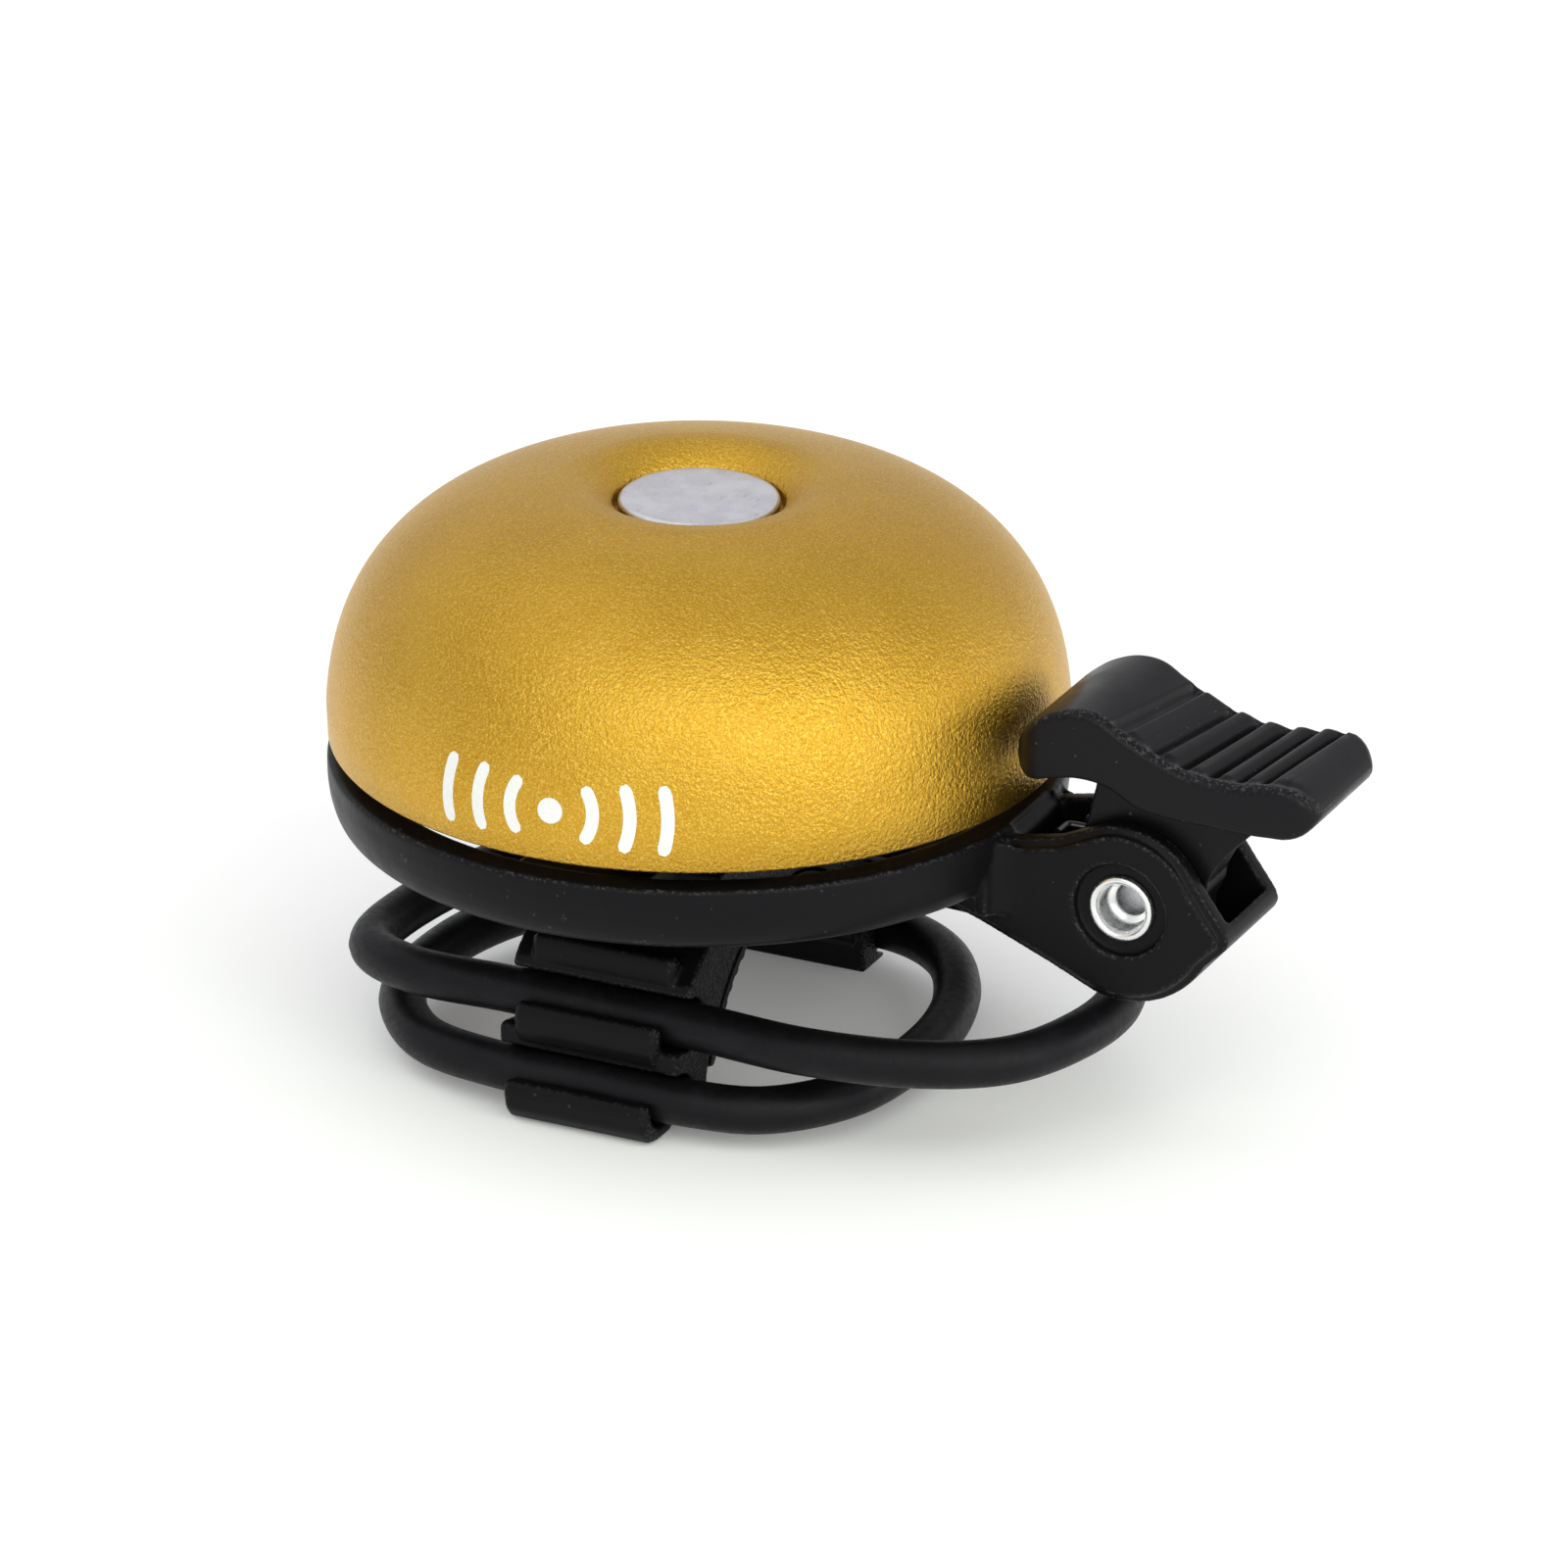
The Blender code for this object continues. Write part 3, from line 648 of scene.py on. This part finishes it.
def print_bar(bm, on_dome, line):
    """A raised bar along the line, narrower at both ends."""
    profile = ((-1, PRINT_DEPTH), (-1, PRINT_EDGE), (0, PRINT_FACE), (1, PRINT_EDGE), (1, PRINT_DEPTH))
    last = len(line) - 1
    rows = []
    for i, (u, v) in enumerate(line):
        u0, v0 = line[max(i - 1, 0)]
        u1, v1 = line[min(i + 1, last)]
        across = Vector((v0 - v1, u1 - u0)).normalized()
        w = BAR_HALF * min(1.0, (min(i, last - i) + 0.35) / 1.6) ** 0.5
        rows.append([bm.verts.new(on_dome(u + across.x * w * s, v + across.y * w * s, out))
                     for s, out in profile])
    skin(bm, rows)


def wave_mark():
    """A printed sign of sound: a dot between curved bars, wrapped on the dome's front left."""
    bm = bmesh.new()
    on_dome = wrapped()
    for radius, reach in SOUND_BARS:
        turns = [math.radians(t) for t in np.linspace(-reach, reach, BAR_STEPS)]
        for mirror in (1, -1):
            print_bar(bm, on_dome, [(mirror * radius * math.cos(t), radius * math.sin(t)) for t in turns])
    turns = np.linspace(0, math.tau, DOT_SIDES, endpoint=False)
    rim = [(DOT_RADIUS * math.cos(t), DOT_RADIUS * math.sin(t)) for t in turns]
    top = [bm.verts.new(on_dome(u, v, PRINT_FACE)) for u, v in rim]
    low = [bm.verts.new(on_dome(u, v, PRINT_DEPTH)) for u, v in rim]
    skin(bm, [top, low])
    bmesh.ops.recalc_face_normals(bm, faces=bm.faces)
    return draft(bm)


def dome_rivet():
    """Its head has a faintly uneven face and a rolled edge, and its tail is spread in a dome."""
    top = 18.4
    face = [(r, top - 0.0016 * r * r) for r in np.linspace(0, 5.2, 22)]
    face[0] = (0, top)
    edge = arc((5.45, top - 0.55), 0.5, 88, 0, 6)
    profile = face + edge + [(5.95, 17.5), (5.8, 17.3), (2.0, 17.3), (2.0, -9.4), (2.9, -9.4)]
    profile += arc((2.55, -9.8), 0.55, 20, -75, 6) + [(1.6, -10.3), (0.9, -10.05), (0, -9.95)]
    rivet = draft(spun(profile, 96))
    for vertex in rivet.data.vertices:
        x, y, z = vertex.co
        if z > 18.2 and math.hypot(x, y) < 5.6:
            vertex.co.z += 0.025 * noise.noise(Vector((x * 0.7, y * 0.7, 3.0))) - 0.012
    return rivet


def washer(outer, bottom, top):
    """A flat ring round the rivet, with its outer edges broken."""
    edge = 0.12
    profile = [(RIVET_BORE, bottom), (outer - edge, bottom), (outer, bottom + edge), (outer, top - edge),
               (outer - edge, top), (RIVET_BORE, top)]
    return draft(spun(profile, 64))


# ---------------------------------------------------------------- base with its arm

ARM_HALF = 5.4
ARM_ROUND = 0.6
CHANNEL_HALF = 3.5
BAND_HALF = 5.0
RIB_HALF = 0.8
BASE_VOXEL = 0.17


def arm_outline():
    """The arm from the side. Its cheeks are round about the pin, above and below."""
    crest = [(4.0, -4.3), (25.7, -4.3), (25.7, -2.25), (28.0, -1.75), (31.0, -1.15)]
    nose = [(42.3, -3.6), (44.2, -6.2), (44.45, -6.9), (44.25, -7.5)]
    tail = [(30.5, -11.05), (25.3, -8.95), (21.5, -7.6), (18.0, -5.75), (4.0, -5.75)]
    return crest + arc(PIVOT, 6.3, 106, 42, 14) + nose + arc(PIVOT, 7.3, -28, -107, 16) + tail


def channel_outline():
    """The room between the cheeks from the side, open above and at the outer end."""
    back = [(27.75, -8.3), (31.0, -9.75)]
    floor = arc(PIVOT, 5.95, -104, -32, 14)
    mouth = [(43.35, -6.7), (44.0, -5.7), (46.5, -4.0), (46.5, 4.0), (26.7, 4.0)]
    lip = [(26.7, -1.75), (27.25, -1.95), (27.6, -2.4), (27.75, -3.0)]
    return back + floor + mouth + lip


def corner_outline(side):
    """The hollow corner between the ring and one side of the arm, from above."""
    centre = (28.25, -7.4)
    turn = math.degrees(math.atan2(centre[1], centre[0]))
    outline = [(25.5, -5.2), (28.25, -5.3)] + arc(centre, 2.0, 90, 180 + turn, 8) + [(25.3, -6.6)]
    return [(x, -side * y) for x, y in outline]


def base_body():
    wall = [(24.9, -1.4), (25.05, -1.26), (27.05, -1.26), (27.28, -1.36), (27.35, -1.6), (27.32, -3.0),
            (27.18, -4.1), (26.95, -4.95), (26.65, -5.6), (26.2, -6.05), (25.7, -6.3), (25.1, -6.4),
            (24.9, -6.25)]
    band = [(-25.05, -5.95), (25.05, -5.95), (25.05, -4.0), (-25.05, -4.0)]
    rib = [(-14.0, -5.2), (14.0, -5.2), (14.0, -3.0), (5.0, 6.0), (-5.0, 6.0), (-14.0, -3.0)]
    post = [(0, -5.0), (4.6, -5.0), (4.6, 14.0), (4.3, 14.3), (0, 14.3)]
    bore = [(0, -8.4), (RIVET_BORE, -8.4), (RIVET_BORE, 16.3), (0, 16.3)]
    face = ARM_HALF - 0.8
    seat = [(0, -8), (3.55, -8), (3.55, -face), (2.2, -face), (2.2, face), (3.55, face), (3.55, 8), (0, 8)]
    steps = [("UNION", pushed(band, "X", -BAND_HALF, BAND_HALF)),
             ("UNION", pushed(rib, "X", -RIB_HALF, RIB_HALF)),
             ("UNION", spun(post, 64)),
             ("DIFFERENCE", spun(bore, 48)),
             ("UNION", pushed(arm_outline(), "Y", -ARM_HALF, ARM_HALF, ARM_ROUND, 4))]
    steps += [("UNION", pushed(corner_outline(side), "Z", -7.6, -1.9)) for side in (-1, 1)]
    steps += [("DIFFERENCE", pushed(channel_outline(), "Y", -CHANNEL_HALF, CHANNEL_HALF)),
              ("DIFFERENCE", spun(seat, 64, "Y"))]
    return melted(shaped(draft(spun(wall, 180)), *steps), BASE_VOXEL, 12)


# ---------------------------------------------------------------- saddle and liner

SADDLE_HALF = 7.2
SADDLE_FOOT = -23.8
SADDLE_WALL = 1.3
SADDLE_VOXEL = 0.15
LIP_HALF = 5.8
LIP_ROUND = 0.3
# The three hook lips on a leg from the end, as (distance from the middle, z), from the top one down.
LIPS = (
    [(14.0, -12.4), (14.75, -11.35), (15.9, -11.3), (16.15, -12.2), (16.1, -13.3), (15.6, -14.15),
     (14.6, -13.9)],
    [(17.4, -18.35), (17.75, -17.2), (17.75, -15.75), (18.75, -15.65), (19.05, -16.4), (19.1, -17.6),
     (18.5, -18.8)],
    [(15.6, -24.2), (15.6, -23.65), (18.4, -23.6), (19.45, -22.6), (19.65, -21.25), (20.5, -21.15),
     (20.8, -21.9), (20.5, -23.4), (19.8, -24.3), (18.6, -24.6), (16.4, -24.6)],
)

PAD_REACH = 74
PAD_STEPS = 148
PAD_CLEAR = 0.03
PAD_THICK = 1.0
GRIP_DEPTH = 0.16


def saddle_outline():
    """The saddle from the end: two legs with a groove for each ring, and the hollow of the arch."""
    shoulder = [(11.2, -6.25), (12.2, -9.6), (12.9, -11.0), (14.2, -11.8)]
    tooth_1 = [(15.9, -13.2), (16.2, -13.9), (15.9, -14.2)]
    tooth_2 = [(17.3, -17.85), (18.1, -17.7), (18.35, -18.0), (18.35, -19.2), (18.0, -19.4)]
    grooves = arc((15.75, -16.2), 2.05, 100, 260, 14), arc((17.6, -21.5), 2.05, 92, 262, 14)
    leg = shoulder + tooth_1 + grooves[0] + tooth_2 + grooves[1] + [(17.1, SADDLE_FOOT)]
    seat = BAR_RADIUS + SADDLE_WALL
    foot = math.degrees(math.asin((SADDLE_FOOT - BAR_Z) / seat))
    return [(-s, z) for s, z in reversed(leg)] + leg + arc((0, BAR_Z), seat, foot, 180 - foot, 48)


def bar_saddle():
    steps = []
    for lip in LIPS:
        for side in (-1, 1):
            outline = rounded([(side * s, z) for s, z in lip], LIP_ROUND)
            steps.append(("UNION", pushed(outline, "X", -LIP_HALF, LIP_HALF, LIP_ROUND, 3)))
    pocket = [(0, -8.2), (4.1, -8.2), (4.1, -14.0), (0, -14.0)]
    bore = [(0, -5.0), (RIVET_BORE, -5.0), (RIVET_BORE, -9.0), (0, -9.0)]
    steps += [("DIFFERENCE", spun(pocket, 64)), ("DIFFERENCE", spun(bore, 48))]
    saddle = draft(pushed(saddle_outline(), "X", -SADDLE_HALF, SADDLE_HALF))
    return melted(shaped(saddle, *steps), SADDLE_VOXEL, 4)


def saddle_pad():
    """The liner, with fine grip ribs along the bar beside a plain seat at the top."""
    inner = []
    for i in range(PAD_STEPS + 1):
        angle = 90 - PAD_REACH + 2 * PAD_REACH * i / PAD_STEPS
        depth = GRIP_DEPTH if (i // 3) % 2 and abs(angle - 90) > 5 else 0.0
        radius = BAR_RADIUS + PAD_CLEAR + depth
        turn = math.radians(angle)
        inner.append((radius * math.cos(turn), BAR_Z + radius * math.sin(turn)))
    outer = arc((0, BAR_Z), BAR_RADIUS + PAD_THICK, 90 + PAD_REACH, 90 - PAD_REACH, 60)
    half = SADDLE_HALF - 0.06
    return draft(pushed(inner + outer, "X", -half, half, 0.12, 2))


# ---------------------------------------------------------------- lever

BLADE_START = 27.7
BLADE_END = 51.4
BLADE_HALF = 6.3
NOSE_CORNER = 2.4
TIP_CORNER = 2.0
GROOVE_SLANT = 0.127
# The grooves' reach on the middle line, and the x from which and up to which they cut at the sides.
GROOVES_START = 36.05
GROOVES_END = 49.6
CUT_FROM = 35.2
CUT_TO = 49.9
# A groove's height is the mean over these steps along x, which rounds its edges.
GROOVE_EASE = (-0.12, -0.06, 0.0, 0.06, 0.12)
# Shares of the flat top's half width at which a section has a point.
TOP_SHARES = (0.985, 0.96, 0.93, 0.9, 0.87, 0.83, 0.78, 0.7, 0.6, 0.48, 0.36, 0.24, 0.12, 0.0)
# A thumb's dent on the near shoulder of the tip, as x, y, its two half widths and its depth.
DENT = (49.0, -5.1, 0.9, 0.4, 0.16)
WEAR_WIDTH = 0.35
NECK_VOXEL = 0.15


def blade_top(x):
    """Height of the top's middle line behind the hump: a row of ribs between grooves, and the tip."""
    ribs = [(35.5, 8.93), (36.0, 8.52), (36.2, 7.75), (36.9, 7.5), (37.1, 7.95), (37.35, 8.02),
            (38.2, 7.52), (38.9, 6.98), (39.2, 6.2), (39.68, 6.1), (39.9, 6.82), (40.15, 6.9),
            (40.7, 6.66), (41.15, 6.2), (41.4, 5.5), (41.85, 5.48), (42.05, 6.24), (42.3, 6.36),
            (42.9, 6.26), (43.35, 5.9), (43.6, 5.25), (44.1, 5.25), (44.32, 6.12), (44.6, 6.28),
            (45.1, 6.24), (45.55, 5.95), (45.8, 5.35), (46.2, 5.37), (46.42, 6.32), (46.7, 6.48),
            (47.1, 6.46), (47.5, 6.24), (47.7, 5.7), (48.05, 5.72), (48.26, 6.48), (48.5, 6.62),
            (49.3, 6.55), (50.1, 6.2), (50.8, 5.6), (51.2, 5.1), (BLADE_END, 4.7)]
    return float(np.interp(x, [p[0] for p in ribs], [p[1] for p in ribs]))


def blade_smooth_top(x):
    """The same line without its grooves, which the shoulders at both sides follow."""
    line = [(27.7, 5.4), (27.95, 6.3), (28.4, 7.1), (29.4, 8.05), (31.2, 9.12), (33.0, 9.58), (34.6, 9.38),
            (36.2, 8.45), (38.2, 7.45), (39.6, 6.85), (41.0, 6.4), (42.8, 6.15), (45.0, 6.1), (47.0, 6.35),
            (48.8, 6.5), (49.6, 6.42), (50.2, 6.1), (50.8, 5.6), (51.2, 5.1), (BLADE_END, 4.7)]
    return smooth_line(line, x)


def groove_depth(x):
    """How far the grooves lie below the smooth line, as a negative height."""
    return blade_top(x) - blade_smooth_top(x) if GROOVES_START < x < GROOVES_END else 0.0


def blade_bottom(x):
    return smooth_line([(27.7, 5.2), (27.95, 4.5), (28.5, 3.9), (29.4, 3.65), (31.0, 4.0), (33.2, 4.35),
                        (35.6, 4.0), (37.5, 3.0), (39.9, 2.6), (43.2, 2.5), (47.8, 2.5),
                        (49.6, 2.7), (50.6, 3.2), (51.2, 3.9), (BLADE_END, 4.3)], x)


def corner_inset(distance, radius):
    """How far a plan corner of this radius pulls the side in, at a distance from the end."""
    if distance >= radius:
        return 0.0
    return radius - math.sqrt(max(0.0, radius ** 2 - (radius - distance) ** 2))


def blade_half(x):
    return (BLADE_HALF - corner_inset(x - BLADE_START + 0.02, NOSE_CORNER)
            - corner_inset(BLADE_END - x + 0.02, TIP_CORNER))


def blade_stations():
    """Where the blade has sections: close together at its ends and along its grooves."""
    ends = np.array([0.0, 0.04, 0.12, 0.25, 0.45, 0.7, 1.0, 1.4, 1.8, 2.3])
    hump = np.arange(BLADE_START + 2.7, 35.0, 0.3)
    grooves = np.arange(35.1, 49.0, 0.05)
    return sorted([*(BLADE_START + ends), *hump, *grooves, *(BLADE_END - ends)])


def edge_rounds(x):
    """The radii of the blade's upper and lower edges, which shrink where it is thin."""
    tall = blade_smooth_top(x) - blade_bottom(x)
    return min(0.75, 0.5 * tall), min(0.4, 0.3 * tall)


def blade_section(x):
    """The blade's outline at x as (y, z), without grooves or dent."""
    half = blade_half(x)
    bottom = blade_bottom(x)
    top = blade_smooth_top(x)
    upper, lower = edge_rounds(x)
    side = [(half - lower * (1 - math.sin(t)), bottom + lower * (1 - math.cos(t)))
            for t in np.linspace(0, math.pi / 2, 4)]
    side.append((half, 0.5 * (bottom + lower + top - upper)))
    side += [(half - upper * (1 - math.cos(t)), top - upper * (1 - math.sin(t)))
             for t in np.linspace(0, math.pi / 2, 7)]
    shares = [-share for share in TOP_SHARES] + list(reversed(TOP_SHARES[:-1]))
    flat = [((half - upper) * share, top) for share in shares]
    return [(-y, z) for y, z in side] + flat + list(reversed(side))


def groove_at(x, y, half, inner):
    """How far the grooves sink a spot of the top. They end short of both shoulders."""
    reach = (half - y) / 0.9 if y > 0 else (inner + y) / 0.75
    fade = min(1.0, max(0.0, reach)) * min(1.0, max(0.0, (CUT_TO - x) / 0.6))
    along = min(x - GROOVE_SLANT * y, BLADE_END - 0.2)
    sunk = sum(groove_depth(along + step) for step in GROOVE_EASE) / len(GROOVE_EASE)
    return sunk * fade * fade * (3 - 2 * fade)


def lever_blade():
    """The thumb plate, with the rubbing of its upper edges kept on its vertices as wear."""
    bm = bmesh.new()
    wear = bm.verts.layers.float.new("wear")
    dent_x, dent_y, dent_long, dent_wide, dent_depth = DENT
    sections = []
    for x in blade_stations():
        half = blade_half(x)
        top = blade_smooth_top(x)
        upper = edge_rounds(x)[0]
        inner = half - upper
        section = []
        for y, z in blade_section(x):
            dented = math.exp(-((x - dent_x) / dent_long) ** 2 - ((y - dent_y) / dent_wide) ** 2)
            if x > CUT_FROM and z > top - upper:
                z += groove_at(x, y, half, inner)
            if z > top - upper:
                z -= dent_depth * dented
            vertex = bm.verts.new((x, y, z))
            across = (abs(y) - (inner - WEAR_WIDTH)) / (upper + WEAR_WIDTH)
            if z > top - 1.2 * upper and across > 0:
                near_side = 1.0 if y < 0 else 0.4
                vertex[wear] = near_side * math.sin(math.pi * min(1.0, across)) + dented
            section.append(vertex)
        sections.append(section)
    skin(bm, sections)
    bmesh.ops.recalc_face_normals(bm, faces=bm.faces)
    return draft(bm)


def lever_neck():
    """The hub on the pin and the web that carries the blade."""
    hub = arc(PIVOT, 5.2, 150, 362, 36)
    front = [(42.05, -4.0), (42.15, -3.1), (42.75, -1.8), (43.9, -0.4), (45.5, 1.25), (46.9, 2.4),
             (47.0, 2.75)]
    back = [(33.6, 4.6), (33.2, 2.6), (32.7, 0.4)]
    neck = draft(pushed(hub + front + back, "Y", -3.2, 0.6))
    bore = spun([(0, -6), (2.25, -6), (2.25, 6), (0, 6)], 64, "Y")
    return melted(shaped(neck, ("DIFFERENCE", bore)), NECK_VOXEL, 4)


# ---------------------------------------------------------------- pin and spring

WIRE_RADIUS = 0.3
COIL_RADIUS = 3.0
COIL_START = 1.2
COIL_PITCH = 0.9
COIL_SWEEP = -612.5
COIL_STEPS = 84
FIXED_LEG = 29.2
MOVING_LEG = 31.6


def pivot_rivet():
    """A hollow rivet: a rounded lip in front, a stepped bore, and a flared end behind."""
    seat = ARM_HALF - 0.7
    lip = arc((2.2, -4.85), 0.3, -35, -150, 8)
    profile = [(1.2, 3.0), (1.2, -2.9), (1.3, -3.12), (1.62, -3.25), (1.74, -3.5), (1.8, -4.6),
               (1.88, -4.85)]
    profile += list(reversed(lip)) + [(2.5, -seat), (2.0, -seat), (2.0, seat), (2.4, seat), (2.35, 4.95),
                                      (2.1, 5.08), (1.75, 5.05), (1.45, 4.6)]
    return draft(spun(profile, 96, "Y"))


def torsion_spring():
    """The fixed leg in the channel, the coil round the pin, and the leg that rests on the lever."""
    top = PIVOT[1] + COIL_RADIUS
    wire = [(FIXED_LEG, -0.6, top), (FIXED_LEG, 0.2, top), (FIXED_LEG, 0.8, top),
            (FIXED_LEG + 0.12, 1.08, top), (FIXED_LEG + 0.4, COIL_START, top), (33.0, COIL_START, top)]
    for i in range(COIL_STEPS + 1):
        swept = COIL_SWEEP * (i / COIL_STEPS)
        angle = math.radians(90 + swept)
        side = COIL_START - COIL_PITCH * swept / 360
        wire.append((PIVOT[0] + COIL_RADIUS * math.cos(angle), side,
                     PIVOT[1] + COIL_RADIUS * math.sin(angle)))
    wire += [(32.0, side, -2.8), (MOVING_LEG, side, -1.5), (MOVING_LEG - 0.03, side - 0.1, -1.3),
             (MOVING_LEG - 0.05, side - 0.4, -1.2), (MOVING_LEG, 1.0, -1.2), (MOVING_LEG, -0.6, -1.2)]
    return draft(tube(wire, lambda share, turn: WIRE_RADIUS, 12, False))


# ---------------------------------------------------------------- O-rings

CORD_RADIUS = 1.8
CORD_INSET = 0.045
FLASH_HEIGHT = 0.035
RIPPLE_HEIGHT = 0.02
# The cords' middle lines, through the saddle's grooves at both sides.
LARGE_ROUTE = [
    (-8.0, -15.75, -16.2), (0.0, -15.7, -16.2), (8.0, -15.85, -16.2), (16.4, -16.5, -16.1),
    (24.6, -15.2, -16.0), (30.4, -11.9, -15.9), (33.3, -6.5, -15.7), (33.8, 0.2, -15.7),
    (31.0, 7.2, -15.8), (25.2, 12.8, -16.0), (16.6, 15.4, -16.2), (8.0, 15.8, -16.2),
    (0.0, 15.7, -16.2), (-8.0, 15.6, -16.2), (-15.2, 11.7, -16.4), (-19.8, 4.4, -16.7),
    (-22.0, -4.2, -17.0), (-21.2, -11.6, -16.9), (-15.7, -15.4, -16.4),
]
SMALL_ROUTE = [
    (-8.0, -17.6, -21.5), (0.0, -17.5, -21.5), (8.0, -17.6, -21.5), (13.4, -16.2, -21.5),
    (17.5, -11.6, -21.4), (19.0, -5.0, -21.4), (18.9, 2.4, -21.4), (17.0, 9.0, -21.4),
    (13.3, 14.6, -21.5), (8.0, 17.4, -21.5), (0.0, 17.5, -21.5), (-8.0, 17.3, -21.5),
    (-14.4, 14.2, -21.5), (-18.6, 8.2, -21.4), (-20.8, 0.2, -21.4), (-20.0, -9.0, -21.4),
    (-15.0, -15.6, -21.5),
]


def o_ring(route, seed):
    """A round cord with a hair of moulding flash along its inner and outer waist."""
    def radius_at(share, turn):
        flash = max(0.0, abs(math.cos(turn)) - 0.988) / 0.012
        ripple = noise.noise(Vector((math.cos(share * math.tau) * 2.5, math.sin(share * math.tau) * 2.5,
                                     seed + turn * 0.3)))
        return CORD_RADIUS - CORD_INSET + FLASH_HEIGHT * flash + RIPPLE_HEIGHT * ripple
    return draft(tube(smooth_loop(route, 260), radius_at, 40, True))


# ---------------------------------------------------------------- the bell


def build():
    gold = gold_look()
    zinc = zinc_look()
    fibre = fibre_look()
    ring_rubber = rubber_look("ring_rubber", (0.0028, 0.0028, 0.0034))
    liner_rubber = rubber_look("liner_rubber", (0.004, 0.004, 0.0045))
    base_plastic = plastic_look("base_plastic", 0.38, 0.7, 0.12)
    saddle_plastic = plastic_look("saddle_plastic", 0.42, 0.5, 0.12, ends=True)
    lever_plastic = plastic_look("lever_plastic", 0.34, 1.0, 0.16, marked=True)
    aluminium = bright_metal_look("pin_aluminium", (0.84, 0.84, 0.85), 0.28, 0.4)
    steel = bright_metal_look("spring_steel", (0.11, 0.11, 0.115), 0.35, 0.3)
    finished(bell_dome(), "dome", gold, "base", ["bell_dome"], 40)
    finished(wave_mark(), "dome_print", print_look(), "base", [], 30)
    finished(dome_rivet(), "rivet", zinc, "base", ["dome_rivet"], 40)
    finished(washer(4.4, 14.6, 15.5), "washer_dome", fibre, "base", ["dome_washer"], 30)
    finished(washer(3.7, -9.1, -8.5), "washer_tail", zinc, "base", ["tail_washer"], 30)
    finished(base_body(), "base_shell", base_plastic, "base", ["base_body"])
    finished(bar_saddle(), "saddle", saddle_plastic, "base", ["bar_saddle"])
    finished(saddle_pad(), "liner", liner_rubber, "base", ["saddle_pad"], 30)
    finished(lever_blade(), "lever_blade", lever_plastic, "lever", ["thumb_lever"], 50)
    finished(lever_neck(), "lever_neck", lever_plastic, "lever", [])
    finished(pivot_rivet(), "hollow_rivet", aluminium, "base", ["pivot_rivet"], 50)
    finished(torsion_spring(), "spring", steel, "base", ["torsion_spring"], 60)
    finished(o_ring(LARGE_ROUTE, 1.0), "ring_large", ring_rubber, "base", ["o_ring_large"])
    finished(o_ring(SMALL_ROUTE, 7.0), "ring_small", ring_rubber, "base", ["o_ring_small"])


add_camera()
add_studio()
build()
